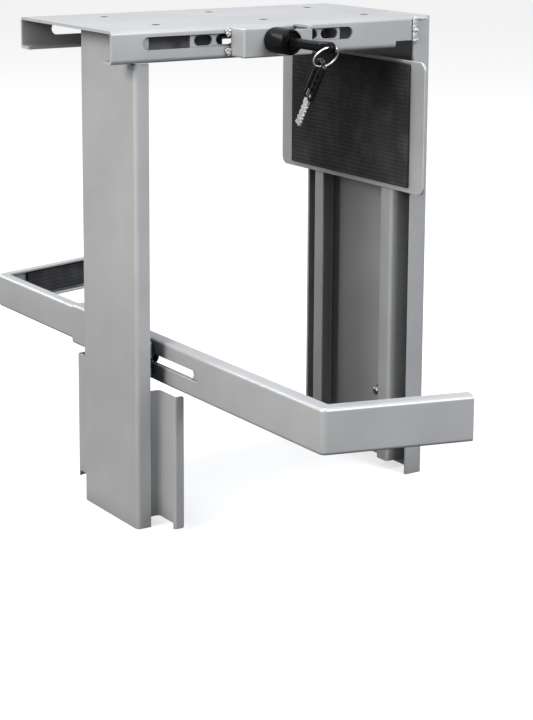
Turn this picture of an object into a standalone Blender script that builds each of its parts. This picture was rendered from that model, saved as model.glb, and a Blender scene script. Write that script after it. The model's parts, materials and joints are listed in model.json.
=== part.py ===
"""CPU holder for the underside of a desk: a top channel with one fixed and one sliding arm.

Everything is in millimetres here and is turned into metres when a mesh is made. X runs along
the desk channel, -Y is the front, where the key goes in, and Z = 0 is the face that meets the
underside of the desk.
"""
import math

import bmesh
import bpy
from mathutils import Matrix, Vector

MM = 0.001
GAP = 0.3  # running clearance between pieces that touch
SHEET = 2.0  # thickness of the channel and the arms
BEND = 3.0  # outer bend radius of the sheet

# Top channel
CHANNEL_LEFT = -130.0
CHANNEL_RIGHT = 127.7
CHANNEL_WIDTH = 131.0
CHANNEL_HEIGHT = 22.0
LIP = 12.0
SLOT_LEFT, SLOT_RIGHT = -107.0, 61.0
SLOT_HEIGHT = 8.6
LOCK_Z = -9.2  # height of the lock's axis, the front slot and the rail's holes
DESK_HOLE_X = (-80.0, 6.0, 92.0)
DESK_HOLE_Y = 36.0
DESK_HOLE_R = 3.0

# Right arm, welded to the channel
ARM_BOTTOM = -340.0
RIGHT_FACE = 130.0
RIGHT_FLANGE = 15.0

# Left arm, which slides along the channel
LEFT_FACE = -111.4
LEFT_FRONT, LEFT_REAR = -62.2, 13.4
LEFT_FLANGE = 11.0
ARM_TOP = -2.6

# Sliding rail inside the channel
RAIL_PITCH = 17.0
RAIL_HOLES = 7
RAIL_FIRST_HOLE = -59.4
RAIL_LEFT, RAIL_RIGHT = -69.6, 51.6
RAIL_HOLE = (14.1, 7.0)
RAIL_WIDTH = 125.8
RAIL_BOTTOM = -17.5
TONGUE_FRONT, TONGUE_REAR = -48.0, 11.0
TONGUE_END = -35.0
RAIL_SCREW_X = (-62.0, -44.0)
RAIL_SCREW_Y = -18.5

# Clamp plates
PLATE = 1.5
STAND_OFF = 5.0
PLATE_TOP, PLATE_BOTTOM = -38.6, -333.5
WINDOW_TOP, WINDOW_BOTTOM = -101.0, -245.0
WING_X = -93.0
WING_FRONT, WING_REAR = -81.4, 57.5
FOLD_X = -86.0
FOLD_DROP = 4.0  # how much lower the folded edges reach than the wings
RIGHT_WING_X = 107.0
RIGHT_WING_FRONT, RIGHT_WING_REAR = -89.0, 90.0
RIGHT_WING_TOP, RIGHT_WING_BOTTOM = -31.0, -126.0
RIGHT_PAD_MARGIN = 2.0
STUD_Y = -24.4
LEFT_STUD_Z = (-60.0, -286.0)
RIGHT_STUD_Z = (-60.0, -286.0)

# Bands that hook round the case
BAND = 1.8
BAND_X = -87.8
BAND_Z = -227.6
BAND_HEIGHT = 29.6
BAND_LIP = 9.5
BAND_SLOT_Z = -227.1
BAND_SLOT = 6.8
FRONT_CORNER_Y, REAR_CORNER_Y = -244.7, 206.5
FRONT_BAND_END, REAR_BAND_END = 75.5, -105.0
FRONT_SLOT = (-102.9, 46.0)
REAR_SLOT = (-93.3, 46.0)
HOOK_LENGTH = 99.5
CORNER_R = 5.0
HOOK_SPLAY = math.radians(15.0)
BAND_SCREW_Y = (-36.0, -15.0)
HEIGHT_BOLT_Y = (-51.4, 1.4)
BRACKET_FACE = BAND_X - GAP

# Lock
HOUSING_LEFT, HOUSING_RIGHT = -40.0, 15.0
STEM_R = 6.2  # the sleeve's stem, through the housing's front wall
PLUNGER_R, PLUNGER_STEM = 6.6, 4.7
PLUNGER_REAR = -73.4
CORE_R = 3.9
HOUSING_FRONT = -83.1
HOUSING_TOP, HOUSING_BOTTOM = -0.6, -20.6
LOCK_X = -16.0
SLEEVE_R = 8.6
SLEEVE_FRONT = -104.1
BOLT_X = RAIL_FIRST_HOLE + 3 * RAIL_PITCH
KEY_FRONT = -151.8
RING_R, RING_WIRE = 8.7, 0.6
RING_TILT = math.radians(38.0)
SPARE_TILT = math.radians(33.0)


# ---------------------------------------------------------------- collections and materials

def collection(name):
    """Make a collection under the scene's own."""
    made = bpy.data.collections.new(name)
    bpy.context.scene.collection.children.link(made)
    return made


def material(name, colour, roughness, metallic=0.0):
    """Make a plain Principled material."""
    mat = bpy.data.materials.new(name)
    mat.use_nodes = True
    shader = mat.node_tree.nodes["Principled BSDF"]
    shader.inputs["Base Color"].default_value = (*colour, 1.0)
    shader.inputs["Roughness"].default_value = roughness
    shader.inputs["Metallic"].default_value = metallic
    mat.diffuse_color = (*colour, 1.0)
    return mat


FINISHES = {
    "powder": ((0.40, 0.41, 0.43), 0.5, 0.3),
    "steel": ((0.62, 0.62, 0.63), 0.3, 1.0),
    "rubber": ((0.05, 0.05, 0.05), 0.85, 0.0),
    "black_plastic": ((0.02, 0.02, 0.02), 0.4, 0.0),
    "nylon": ((0.08, 0.08, 0.08), 0.6, 0.0),
    "weld": ((0.45, 0.46, 0.48), 0.45, 0.3),
}


def give_material(obj, finish):
    """Give an object a material of its own in one of the finishes."""
    obj.data.materials.clear()
    obj.data.materials.append(material(obj.name, *FINISHES[finish]))


# ---------------------------------------------------------------- outlines and meshes

def rounded(points, radius, steps=4):
    """Round the inner corners of an open path of (u, v) points."""
    path = [Vector(points[0])]
    for before, corner, after in zip(points, points[1:], points[2:]):
        corner = Vector(corner)
        back = (Vector(before) - corner).normalized()
        ahead = (Vector(after) - corner).normalized()
        half = back.angle(ahead) / 2
        reach = radius / math.tan(half)
        centre = corner + (back + ahead).normalized() * (radius / math.sin(half))
        start = corner + back * reach - centre
        turn = math.pi - 2 * half
        sign = 1.0 if back.x * ahead.y - back.y * ahead.x < 0 else -1.0
        for step in range(steps + 1):
            swing = Matrix.Rotation(sign * turn * step / steps, 2)
            path.append(centre + swing @ start)
    path.append(Vector(points[-1]))
    return path


def new_object(name, mesh, group):
    """Link a new object made from a mesh."""
    obj = bpy.data.objects.new(name, mesh)
    group.objects.link(obj)
    return obj


def strip_mesh(name, rows, keep=None):
    """Make an open surface from rows of points; keep(i, j) leaves a cell in."""
    shape = bmesh.new()
    grid = [[shape.verts.new(Vector(point) * MM) for point in row] for row in rows]
    for i in range(len(rows) - 1):
        for j in range(len(rows[0]) - 1):
            if keep is None or keep(i, j):
                shape.faces.new((grid[i][j], grid[i][j + 1], grid[i + 1][j + 1], grid[i + 1][j]))
    loose = [vert for vert in shape.verts if not vert.link_faces]
    bmesh.ops.delete(shape, geom=loose, context="VERTS")
    mesh = bpy.data.meshes.new(name)
    shape.to_mesh(mesh)
    shape.free()
    return mesh


def sheet(name, rows, thickness, group, finish, keep=None, outward=False):
    """Give an open surface a thickness; outward puts it on the side the normals face."""
    obj = new_object(name, strip_mesh(name, rows, keep), group)
    solid = obj.modifiers.new("Sheet", "SOLIDIFY")
    solid.thickness = thickness * MM
    solid.offset = 1.0 if outward else -1.0
    solid.use_even_offset = True
    give_material(obj, finish)
    smooth(obj)
    return obj


def smooth(obj, angle=30.0):
    """Shade smooth with sharp edges by angle."""
    obj.data.shade_smooth()
    obj.data.set_sharp_from_angle(angle=math.radians(angle))


def box(name, low, high, group, finish=None, bevel=0.0):
    """Make a box from its two corners, with its edges rounded if asked."""
    bpy.ops.mesh.primitive_cube_add(size=1.0)
    obj = bpy.context.object
    obj.name = obj.data.name = name
    size = (Vector(high) - Vector(low)) * MM
    obj.data.transform(Matrix.Diagonal((*size, 1.0)))
    obj.location = (Vector(high) + Vector(low)) * MM / 2
    adopt(obj, group, finish)
    if bevel:
        edge = obj.modifiers.new("Edges", "BEVEL")
        edge.width = bevel * MM
        edge.segments = 2
    return obj


def adopt(obj, group, finish):
    """Move a new object into a collection and give it its finish."""
    for owner in obj.users_collection:
        owner.objects.unlink(obj)
    group.objects.link(obj)
    if finish:
        give_material(obj, finish)


def rod(name, start, end, radius, group, finish=None, sides=32):
    """Make a cylinder, or a prism, between two points."""
    start, end = Vector(start), Vector(end)
    bpy.ops.mesh.primitive_cylinder_add(vertices=sides, radius=radius * MM,
                                        depth=(end - start).length * MM)
    obj = bpy.context.object
    obj.name = obj.data.name = name
    turn = (end - start).to_track_quat("Z", "Y").to_matrix().to_4x4()
    obj.data.transform(turn)
    obj.location = (start + end) * MM / 2
    adopt(obj, group, finish)
    smooth(obj)
    return obj


def turned(name, profile, axis_point, axis, group, finish, sides=32, closed=False):
    """Turn a (radius, height) profile round an axis; it ends on the axis or where it began."""
    shape = bmesh.new()
    ring = [shape.verts.new((radius * MM, 0.0, height * MM)) for radius, height in profile]
    if closed:
        shape.verts.remove(ring.pop())
        ring.append(ring[0])
    for first, second in zip(ring, ring[1:]):
        shape.edges.new((first, second))
    mesh = bpy.data.meshes.new(name)
    shape.to_mesh(mesh)
    shape.free()
    obj = new_object(name, mesh, group)
    screw = obj.modifiers.new("Turn", "SCREW")
    screw.steps = screw.render_steps = sides
    screw.use_merge_vertices = True
    screw.merge_threshold = 0.00001
    screw.use_normal_calculate = True
    screw.use_normal_flip = True
    obj.location = Vector(axis_point) * MM
    obj.rotation_mode = "QUATERNION"
    obj.rotation_quaternion = Vector(axis).to_track_quat("Z", "Y")
    give_material(obj, finish)
    if closed:
        obj = settle(obj)
        give_material(obj, finish)
    return obj


def settle(obj):
    """Turn a curve, or a shape with modifiers, into a plain mesh object in the same place."""
    bpy.context.view_layer.update()
    evaluated = obj.evaluated_get(bpy.context.evaluated_depsgraph_get())
    mesh = bpy.data.meshes.new_from_object(evaluated)
    shape = bmesh.new()
    shape.from_mesh(mesh)
    bmesh.ops.remove_doubles(shape, verts=shape.verts, dist=0.000001)
    bmesh.ops.recalc_face_normals(shape, faces=shape.faces)
    shape.to_mesh(mesh)
    shape.free()
    name, place, group = obj.name, obj.matrix_world.copy(), obj.users_collection[0]
    bpy.data.objects.remove(obj)
    made = new_object(name, mesh, group)
    made.matrix_world = place
    smooth(made)
    return made


def cut(obj, cutters, operation="DIFFERENCE"):
    """Take cutters away from an object, or join them to it."""
    for cutter in cutters:
        cutter.hide_render = True
        cutter.display_type = "WIRE"
        step = obj.modifiers.new(cutter.name, "BOOLEAN")
        step.operation = operation
        step.solver = "EXACT"
        step.object = cutter


def slot_cutter(name, centre, length, height, depth, along, through, group):
    """Make a cutter for a slot with round ends; along and through are axis letters."""
    axes = {"X": Vector((1, 0, 0)), "Y": Vector((0, 1, 0)), "Z": Vector((0, 0, 1))}
    u, w = axes[along], axes[through]
    v = w.cross(u)
    radius = height / 2
    reach = length / 2 - radius
    outline = []
    for side, first in ((1, -90.0), (-1, 90.0)):
        for step in range(9):
            angle = math.radians(first + step * 22.5)
            outline.append((side * reach + radius * math.cos(angle), radius * math.sin(angle)))
    shape = bmesh.new()
    base = [shape.verts.new((Vector(centre) + u * a + v * b - w * depth / 2) * MM)
            for a, b in outline]
    face = shape.faces.new(base)
    moved = bmesh.ops.extrude_face_region(shape, geom=[face])["geom"]
    verts = [item for item in moved if isinstance(item, bmesh.types.BMVert)]
    bmesh.ops.translate(shape, verts=verts, vec=w * depth * MM)
    bmesh.ops.recalc_face_normals(shape, faces=shape.faces)
    mesh = bpy.data.meshes.new(name)
    shape.to_mesh(mesh)
    shape.free()
    return new_object(name, mesh, group)


def tube(name, points, radius, group, finish, closed=False):
    """Make a wire from a poly spline."""
    curve = bpy.data.curves.new(name, "CURVE")
    curve.dimensions = "3D"
    curve.bevel_depth = radius * MM
    curve.bevel_resolution = 2
    curve.use_fill_caps = not closed
    spline = curve.splines.new("POLY")
    spline.points.add(len(points) - 1)
    for slot, point in zip(spline.points, points):
        slot.co = (*(Vector(point) * MM), 1.0)
    spline.use_cyclic_u = closed
    obj = bpy.data.objects.new(name, curve)
    group.objects.link(obj)
    made = settle(obj)
    give_material(made, finish)
    return made


def set_origin(obj, point):
    """Put an object's origin on a point, without moving its surface."""
    shift = Vector(point) * MM - obj.location
    obj.data.transform(Matrix.Translation(-(obj.rotation_quaternion.inverted() @ shift)
                                          if obj.rotation_mode == "QUATERNION"
                                          else -shift))
    obj.location = Vector(point) * MM


# ---------------------------------------------------------------- fasteners

def bolt(name, head_base, axis, head, shank, group, finish="steel"):
    """Make a screw: head is (radius, height), shank is (radius, length) behind the head."""
    head_r, head_h = head
    shank_r, shank_l = shank
    profile = [(0.0, head_h), (head_r * 0.72, head_h), (head_r, head_h * 0.45), (head_r, 0.0),
               (shank_r, 0.0), (shank_r, -shank_l), (0.0, -shank_l)]
    return turned(name, profile, head_base, axis, group, finish, sides=20)


def nut(name, start, axis, across, height, bore, parts, cutters):
    """Make a hexagon nut standing on a point."""
    start, axis = Vector(start), Vector(axis).normalized()
    body = rod(name, start, start + axis * height, across / math.sqrt(3), parts, "steel", sides=6)
    hole = rod(name + "_hole", start - axis, start + axis * (height + 1), bore, cutters, sides=20)
    cut(body, [hole])
    return body


# ---------------------------------------------------------------- the channel and its arms

def build_channel(parts, cutters):
    """The top channel: plate, two flanges and two lips, with slots and desk-screw holes."""
    half = CHANNEL_WIDTH / 2
    path = rounded([(-half + LIP, -CHANNEL_HEIGHT), (-half, -CHANNEL_HEIGHT), (-half, 0.0),
                    (half, 0.0), (half, -CHANNEL_HEIGHT), (half - LIP, -CHANNEL_HEIGHT)], BEND)
    rows = [[(x, y, z) for y, z in path] for x in (CHANNEL_LEFT, CHANNEL_RIGHT)]
    channel = sheet("top_channel", rows, SHEET, parts, "powder", outward=True)
    middle = (SLOT_LEFT + SLOT_RIGHT) / 2
    tools = [
        slot_cutter("cut_flange_slot_" + side, (middle, sign * half, LOCK_Z),
                    SLOT_RIGHT - SLOT_LEFT, SLOT_HEIGHT, 12.0, "X", "Y", cutters)
        for side, sign in (("front", -1), ("rear", 1))
    ]
    for x in DESK_HOLE_X:
        for y in (-DESK_HOLE_Y, DESK_HOLE_Y):
            tools.append(rod("cut_desk_hole", (x, y, -6.0), (x, y, 4.0), DESK_HOLE_R,
                             cutters, sides=24))
    end = RIGHT_FACE - RIGHT_FLANGE - GAP
    for side, sign in (("front", -1), ("rear", 1)):
        near, far = sorted((sign * (half - LIP - 2.0), sign * (half + 2.0)))
        tools.append(box("cut_flange_end_" + side, (end, near, -CHANNEL_HEIGHT - 4.0),
                         (RIGHT_FACE + 4.0, far, -SHEET - GAP), cutters))
        near, far = sorted((sign * (half - LIP - 2.0), sign * (half + 3.0)))
        tools.append(box("cut_flange_notch_" + side, (end - 16.0, near, -CHANNEL_HEIGHT - 3.0),
                         (RIGHT_FACE + 3.0, far, -CHANNEL_HEIGHT + 5.0), cutters))
    cut(channel, tools)
    return channel


def build_right_arm(parts, cutters):
    """The right arm: a channel as wide as the top channel, open toward the case."""
    half = CHANNEL_WIDTH / 2
    edge = RIGHT_FACE - RIGHT_FLANGE
    path = rounded([(edge, -half), (RIGHT_FACE, -half), (RIGHT_FACE, half), (edge, half)], BEND)
    rows = [[(x, y, z) for x, y in path] for z in (ARM_BOTTOM, 0.0)]
    arm = sheet("right_arm", rows, SHEET, parts, "powder")
    cut(arm, [box("cut_arm_top", (edge - 5.0, -half - 5.0, -SHEET - GAP),
                  (RIGHT_FACE - SHEET, half + 5.0, 5.0), cutters)])
    return arm


def build_welds(parts):
    """The two weld beads where the channel's flanges meet the right arm."""
    half = CHANNEL_WIDTH / 2
    seam = RIGHT_FACE - RIGHT_FLANGE - GAP / 2
    for side, sign in (("front", -1), ("rear", 1)):
        y = sign * (half + GAP + 1.0)
        points = [(seam, y, z) for z in (-4.5, -8.0, -12.0, -16.0)]
        bead = tube("weld_bead_" + side, points, 1.0, parts, "weld")
        set_origin(bead, (seam, y, -10.0))


def build_left_arm(parts, cutters):
    """The left arm: a narrower channel whose head hangs on the top channel's front lip."""
    edge = LEFT_FACE + LEFT_FLANGE
    path = rounded([(edge, LEFT_REAR), (LEFT_FACE, LEFT_REAR), (LEFT_FACE, LEFT_FRONT),
                    (edge, LEFT_FRONT)], BEND)
    rows = [[(x, y, z) for x, y in path] for z in (ARM_BOTTOM, ARM_TOP)]
    arm = sheet("left_arm", rows, SHEET, parts, "powder")
    inner = -CHANNEL_WIDTH / 2 + LIP + 1.0
    lip_slot = box("cut_lip_slot", (LEFT_FACE - 3.0, -CHANNEL_WIDTH / 2, -CHANNEL_HEIGHT - 0.5),
                   (edge + 3.0, inner, -CHANNEL_HEIGHT + SHEET + 0.5), cutters)
    cut(arm, [lip_slot])
    return arm


def build_rail(parts, cutters):
    """The rail that slides in the channel, its tongue to the left arm, glides and screws."""
    half = RAIL_WIDTH / 2
    path = rounded([(-half, RAIL_BOTTOM), (-half, ARM_TOP), (half, ARM_TOP),
                    (half, RAIL_BOTTOM)], BEND)
    rows = [[(x, y, z) for y, z in path] for x in (RAIL_LEFT, RAIL_RIGHT)]
    rail = sheet("slide_rail", rows, SHEET, parts, "powder", outward=True)
    tools = [slot_cutter("cut_rail_hole", (RAIL_FIRST_HOLE + RAIL_PITCH * i, -half, LOCK_Z),
                         *RAIL_HOLE, 10.0, "X", "Y", cutters) for i in range(RAIL_HOLES)]
    tools += [rod("cut_rail_screw", (x, RAIL_SCREW_Y, -8.0), (x, RAIL_SCREW_Y, 2.0), 2.4,
                  cutters, sides=20) for x in RAIL_SCREW_X]
    cut(rail, tools)

    roof = ARM_TOP - SHEET - GAP
    path = rounded([(TONGUE_FRONT, RAIL_BOTTOM), (TONGUE_FRONT, roof), (TONGUE_REAR, roof),
                    (TONGUE_REAR, RAIL_BOTTOM)], BEND)
    start = LEFT_FACE + SHEET + GAP
    rows = [[(x, y, z) for y, z in path] for x in (start, TONGUE_END)]
    tongue = sheet("arm_tongue", rows, SHEET, parts, "powder", outward=True)
    cut(tongue, [rod("cut_tongue_screw", (x, RAIL_SCREW_Y, -12.0), (x, RAIL_SCREW_Y, 2.0), 2.4,
                     cutters, sides=20) for x in RAIL_SCREW_X])

    under = roof - SHEET - GAP
    for label, x in zip(("left", "right"), RAIL_SCREW_X):
        bolt("rail_screw_" + label, (x, RAIL_SCREW_Y, under), (0, 0, -1), (4.4, 2.4),
             (2.1, under * -1 + ARM_TOP - 0.2), parts)

    for side, sign in (("front", -1), ("rear", 1)):
        near, far = sorted((sign * half, sign * (half - 6.0)))
        box("glide_" + side, (RAIL_LEFT + 4.0, near, -CHANNEL_HEIGHT + SHEET + GAP),
            (RAIL_RIGHT - 4.0, far, RAIL_BOTTOM - 0.1), parts, "nylon", bevel=0.4)


# ---------------------------------------------------------------- the clamp plates

def build_left_plate(parts, cutters):
    """The left clamp plate: nested in the arm, with a window for the bands and two wings."""
    web = LEFT_FACE + SHEET + STAND_OFF
    front = LEFT_FRONT + SHEET + GAP
    rear = LEFT_REAR - SHEET - GAP
    corners = [(FOLD_X, WING_REAR), (WING_X, WING_REAR), (WING_X, rear), (web, rear),
               (web, front), (WING_X, front), (WING_X, WING_FRONT), (FOLD_X, WING_FRONT)]
    path = rounded(corners, 1.8, steps=3)
    per_corner = 4
    levels = (PLATE_BOTTOM - FOLD_DROP, WINDOW_BOTTOM, WINDOW_TOP, PLATE_TOP)
    rows = [[(x, y, z) for x, y in path] for z in levels]
    last = len(path) - 2

    def keep(i, j):
        on_web = 3 * per_corner <= j <= last - 3 * per_corner
        on_side = 2 * per_corner < j < last - 2 * per_corner
        return i == 0 or on_web or (i == 2 and on_side)

    plate = sheet("left_clamp_plate", rows, PLATE, parts, "powder", keep=keep)
    length = WINDOW_TOP - WINDOW_BOTTOM - 12.0
    middle = (WINDOW_TOP + WINDOW_BOTTOM) / 2
    tools = [slot_cutter("cut_height_slot", (web, y, middle), length, 6.6, 10.0, "Z", "X",
                         cutters) for y in HEIGHT_BOLT_Y]
    tools += [rod("cut_stud_hole", (web - 5.0, STUD_Y, z), (web + 5.0, STUD_Y, z), 3.3,
                  cutters, sides=20) for z in LEFT_STUD_Z]
    drop = PLATE_BOTTOM - FOLD_DROP
    tools.append(box("cut_wing_bottom", (web - 4.0, WING_FRONT + PLATE + 1.0, drop - 4.0),
                     (FOLD_X + 4.0, WING_REAR - PLATE - 1.0, PLATE_BOTTOM), cutters))
    for end, z, turn in (("top", WINDOW_BOTTOM, -1.0), ("bottom", drop, 1.0)):
        corner = box("cut_fold_" + end, (-4.0, -4.0, -4.0), (4.0, 4.0, 4.0), cutters)
        corner.scale = (1.0, 50.0, 1.0)
        corner.rotation_euler.y = math.radians(45.0)
        corner.location = Vector((FOLD_X + 2.4, (WING_FRONT + WING_REAR) / 2,
                                  z - turn * 2.4)) * MM
        tools.append(corner)
    cut(plate, tools)
    return plate


def build_left_pads(parts):
    """Rubber strips on the inner side of the left plate's wings."""
    top, bottom = WINDOW_BOTTOM - 4.0, PLATE_BOTTOM + 2.0
    low, high = WING_X + PLATE + GAP, FOLD_X - 1.0
    front = LEFT_FRONT + SHEET + GAP
    rear = LEFT_REAR - SHEET - GAP
    box("clamp_pad_front", (low, WING_FRONT + PLATE + 0.6, bottom), (high, front - 0.2, top),
        parts, "rubber", bevel=0.6)
    box("clamp_pad_rear", (low, rear + 0.2, bottom), (high, WING_REAR - PLATE - 0.6, top),
        parts, "rubber", bevel=0.6)


def build_right_plate(parts, cutters):
    """The right clamp plate, its carrier inside the arm and the rubber sheet on its face."""
    face = RIGHT_WING_X
    plate = box("right_clamp_plate", (face, RIGHT_WING_FRONT, RIGHT_WING_BOTTOM),
                (face + SHEET, RIGHT_WING_REAR, RIGHT_WING_TOP), parts, "powder")
    edge = plate.modifiers.new("Corners", "BEVEL")
    edge.width = 6.0 * MM
    edge.segments = 4
    edge.limit_method = "WEIGHT"
    weights = plate.data.attributes.new("bevel_weight_edge", "FLOAT", "EDGE")
    for line in plate.data.edges:
        first, second = (plate.data.vertices[i].co for i in line.vertices)
        along_x = abs(first.y - second.y) < 1e-6 and abs(first.z - second.z) < 1e-6
        weights.data[line.index].value = 1.0 if along_x else 0.0
    cut(plate, [rod("cut_tool_hole", (face - 4.0, STUD_Y, RIGHT_STUD_Z[0]),
                    (face + 6.0, STUD_Y, RIGHT_STUD_Z[0]), 7.0, cutters, sides=24)])

    half = CHANNEL_WIDTH / 2 - SHEET - GAP
    near, far = face + SHEET + GAP, RIGHT_FACE - SHEET - GAP
    side = half - 14.0
    path = rounded([(near, side - 12.0), (near, side), (far, side), (far, -side), (near, -side),
                    (near, -side + 12.0)], 2.5, steps=3)
    rows = [[(x, y, z) for x, y in path] for z in (PLATE_BOTTOM, PLATE_TOP - 4.0)]
    carrier = sheet("right_clamp_carrier", rows, PLATE, parts, "powder", outward=True)
    cut(carrier, [rod("cut_carrier_stud", (far - 4.0, STUD_Y, z), (far + 4.0, STUD_Y, z), 3.3,
                      cutters, sides=20) for z in RIGHT_STUD_Z])

    pad = box("right_clamp_pad", (face - GAP - 2.0, RIGHT_WING_FRONT + 16.0,
                                  RIGHT_WING_BOTTOM + 4.0),
              (face - GAP, RIGHT_WING_REAR - 16.0, RIGHT_WING_TOP - RIGHT_PAD_MARGIN), parts,
              "rubber", bevel=0.5)
    return pad


def build_studs(parts, cutters):
    """Shouldered weld studs inside the two arms, with the nuts that hold the clamp plates."""
    left_web = LEFT_FACE + SHEET
    right_web = RIGHT_FACE - SHEET
    reach = STAND_OFF - GAP
    for label, left_z, right_z in zip(("upper", "lower"), LEFT_STUD_Z, RIGHT_STUD_Z):
        stud("left_stud_" + label, (left_web + GAP, STUD_Y, left_z), (1, 0, 0), reach - GAP,
             reach + 10.0, parts)
        nut("left_nut_" + label, (left_web + STAND_OFF + PLATE + GAP, STUD_Y, left_z),
            (1, 0, 0), 10.0, 5.0, 3.3, parts, cutters)
        stud("right_stud_" + label, (right_web - 0.1, STUD_Y, right_z), (-1, 0, 0), 0.0, 12.0,
             parts)
        nut("right_nut_" + label, (right_web - PLATE - 2 * GAP, STUD_Y, right_z), (-1, 0, 0),
            10.0, 5.0, 3.3, parts, cutters)


def stud(name, base, axis, shoulder, length, parts):
    """Make a stud with a wide shoulder at its base, if it has one."""
    start = [(0.0, length), (2.4, length), (3.0, length - 0.6)]
    if shoulder > 0:
        start += [(3.0, shoulder), (5.5, shoulder), (5.5, 0.0), (0.0, 0.0)]
    else:
        start += [(3.0, 0.0), (0.0, 0.0)]
    return turned(name, start, base, axis, parts, "steel", sides=20)


# ---------------------------------------------------------------- the bands

def band_rows(outer_x, corner_y, end_y, height, lip, forward):
    """Rows of points along a band: a straight run, a bent corner and a splayed hook."""
    half = height / 2
    section = rounded([(lip, half), (0.0, half), (0.0, -half), (lip, -half)], 2.4, steps=3)
    run = Vector((0.0, forward))
    hook = Vector((math.cos(HOOK_SPLAY), forward * math.sin(HOOK_SPLAY)))
    turn = math.pi / 2 - HOOK_SPLAY
    rows = []

    def row(place):
        return [(*place(depth), BAND_Z + z) for depth, z in section]

    def inner_corner(depth):
        side = Vector((1.0, 0.0))
        back = Vector((-forward * hook.y, -forward * hook.x))
        back = back if back.y * forward < 0 else -back
        reach = depth * math.tan(turn / 2)
        corner = Vector((outer_x, corner_y))
        return corner + side * depth - run * reach, side, back

    rows.append(row(lambda depth: (outer_x + depth, end_y)))
    for step in range(5):
        swing = turn * step / 4

        def place(depth, swing=swing):
            corner = inner_corner(depth)[0]
            radius = max(CORNER_R - depth, 0.5)
            reach = radius * math.tan(turn / 2)
            centre = corner - run * reach + Vector((radius, 0.0))
            return centre + Vector((-math.cos(swing), forward * math.sin(swing))) * radius

        rows.append(row(place))
    corner = Vector((outer_x, corner_y))
    side_of_hook = Vector((math.sin(HOOK_SPLAY), -forward * math.cos(HOOK_SPLAY)))
    rows.append(row(lambda depth: corner + hook * HOOK_LENGTH + side_of_hook * depth))
    return rows


def build_bands(parts, cutters):
    """The front band, the rear band nested in it, and the foam on their hooks."""
    rows = band_rows(BAND_X, FRONT_CORNER_Y, FRONT_BAND_END, BAND_HEIGHT, BAND_LIP, -1.0)
    front = sheet("front_band", rows, BAND, parts, "powder", outward=False)
    cut(front, [slot_cutter("cut_front_band_slot",
                            (BAND_X, sum(FRONT_SLOT) / 2, BAND_SLOT_Z),
                            FRONT_SLOT[1] - FRONT_SLOT[0], BAND_SLOT, 8.0, "Y", "X", cutters)])
    nest = BAND + GAP
    rows = band_rows(BAND_X + nest, REAR_CORNER_Y, REAR_BAND_END, BAND_HEIGHT - 2 * nest,
                     BAND_LIP - nest, 1.0)
    rear = sheet("rear_band", rows, BAND, parts, "powder", outward=True)
    cut(rear, [slot_cutter("cut_rear_band_slot",
                           (BAND_X + nest, sum(REAR_SLOT) / 2, BAND_SLOT_Z),
                           REAR_SLOT[1] - REAR_SLOT[0], BAND_SLOT, 8.0, "Y", "X", cutters)])
    for name, corner_x, corner_y, forward in (
            ("front_hook_pad", BAND_X, FRONT_CORNER_Y, -1.0),
            ("rear_hook_pad", BAND_X + nest, REAR_CORNER_Y, 1.0)):
        hook = Vector((math.cos(HOOK_SPLAY), forward * math.sin(HOOK_SPLAY), 0.0))
        inward = Vector((math.sin(HOOK_SPLAY), -forward * math.cos(HOOK_SPLAY), 0.0))
        corner = Vector((corner_x, corner_y, BAND_Z))
        middle = corner + hook * 60.0 + inward * (BAND + GAP + 1.5)
        pad = box(name, (-32.0, -1.5, -9.0), (32.0, 1.5, 9.0), parts, "rubber", bevel=0.5)
        pad.rotation_euler.z = math.atan2(hook.y, hook.x)
        pad.location = middle * MM


def build_band_bracket(parts, cutters):
    """The bracket that carries both bands and is set up or down in the left plate."""
    floor = LEFT_FACE + SHEET + STAND_OFF + 2 * PLATE + GAP
    leg_rear, leg_front = max(BAND_SCREW_Y) + 8.5, min(BAND_SCREW_Y) - 8.5
    foot_rear, foot_front = HEIGHT_BOLT_Y[1] + 6.0, HEIGHT_BOLT_Y[0] - 6.0
    top = BRACKET_FACE
    path = rounded([(floor, foot_rear), (floor, leg_rear), (top, leg_rear),
                    (top, leg_front), (floor, leg_front), (floor, foot_front)],
                   2.0, steps=3)
    half = BAND_HEIGHT / 2 - 3.0
    rows = [[(x, y, z) for x, y in path] for z in (BAND_Z - half, BAND_Z + half)]
    bracket = sheet("band_bracket", rows, PLATE, parts, "powder", outward=True)
    tools = [rod("cut_band_screw", (top - 5.0, y, BAND_SLOT_Z), (top + 5.0, y, BAND_SLOT_Z),
                 3.1, cutters, sides=20) for y in BAND_SCREW_Y]
    tools += [rod("cut_height_bolt", (floor - 4.0, y, BAND_SLOT_Z), (floor + 6.0, y, BAND_SLOT_Z),
                  3.1, cutters, sides=20) for y in HEIGHT_BOLT_Y]
    cut(bracket, tools)

    head = BAND_X + 2 * BAND + GAP + GAP
    for label, y in zip(("front", "rear"), BAND_SCREW_Y):
        bolt("band_screw_" + label, (head, y, BAND_SLOT_Z), (1, 0, 0), (5.4, 2.8),
             (2.95, head - top + PLATE + 6.0), parts)
        nut("band_nut_" + label, (top - PLATE - 0.2, y, BAND_SLOT_Z), (-1, 0, 0), 10.0, 4.5, 3.1,
            parts, cutters)
    under = LEFT_FACE + SHEET + STAND_OFF - GAP
    for label, y in zip(("front", "rear"), HEIGHT_BOLT_Y):
        bolt("height_bolt_" + label, (under, y, BAND_SLOT_Z), (-1, 0, 0), (5.2, 2.6),
             (2.95, 11.5), parts)
        nut("height_nut_" + label, (floor + GAP, y, BAND_SLOT_Z), (1, 0, 0), 10.0, 4.5,
            3.1, parts, cutters)


# ---------------------------------------------------------------- the lock and its keys

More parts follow.
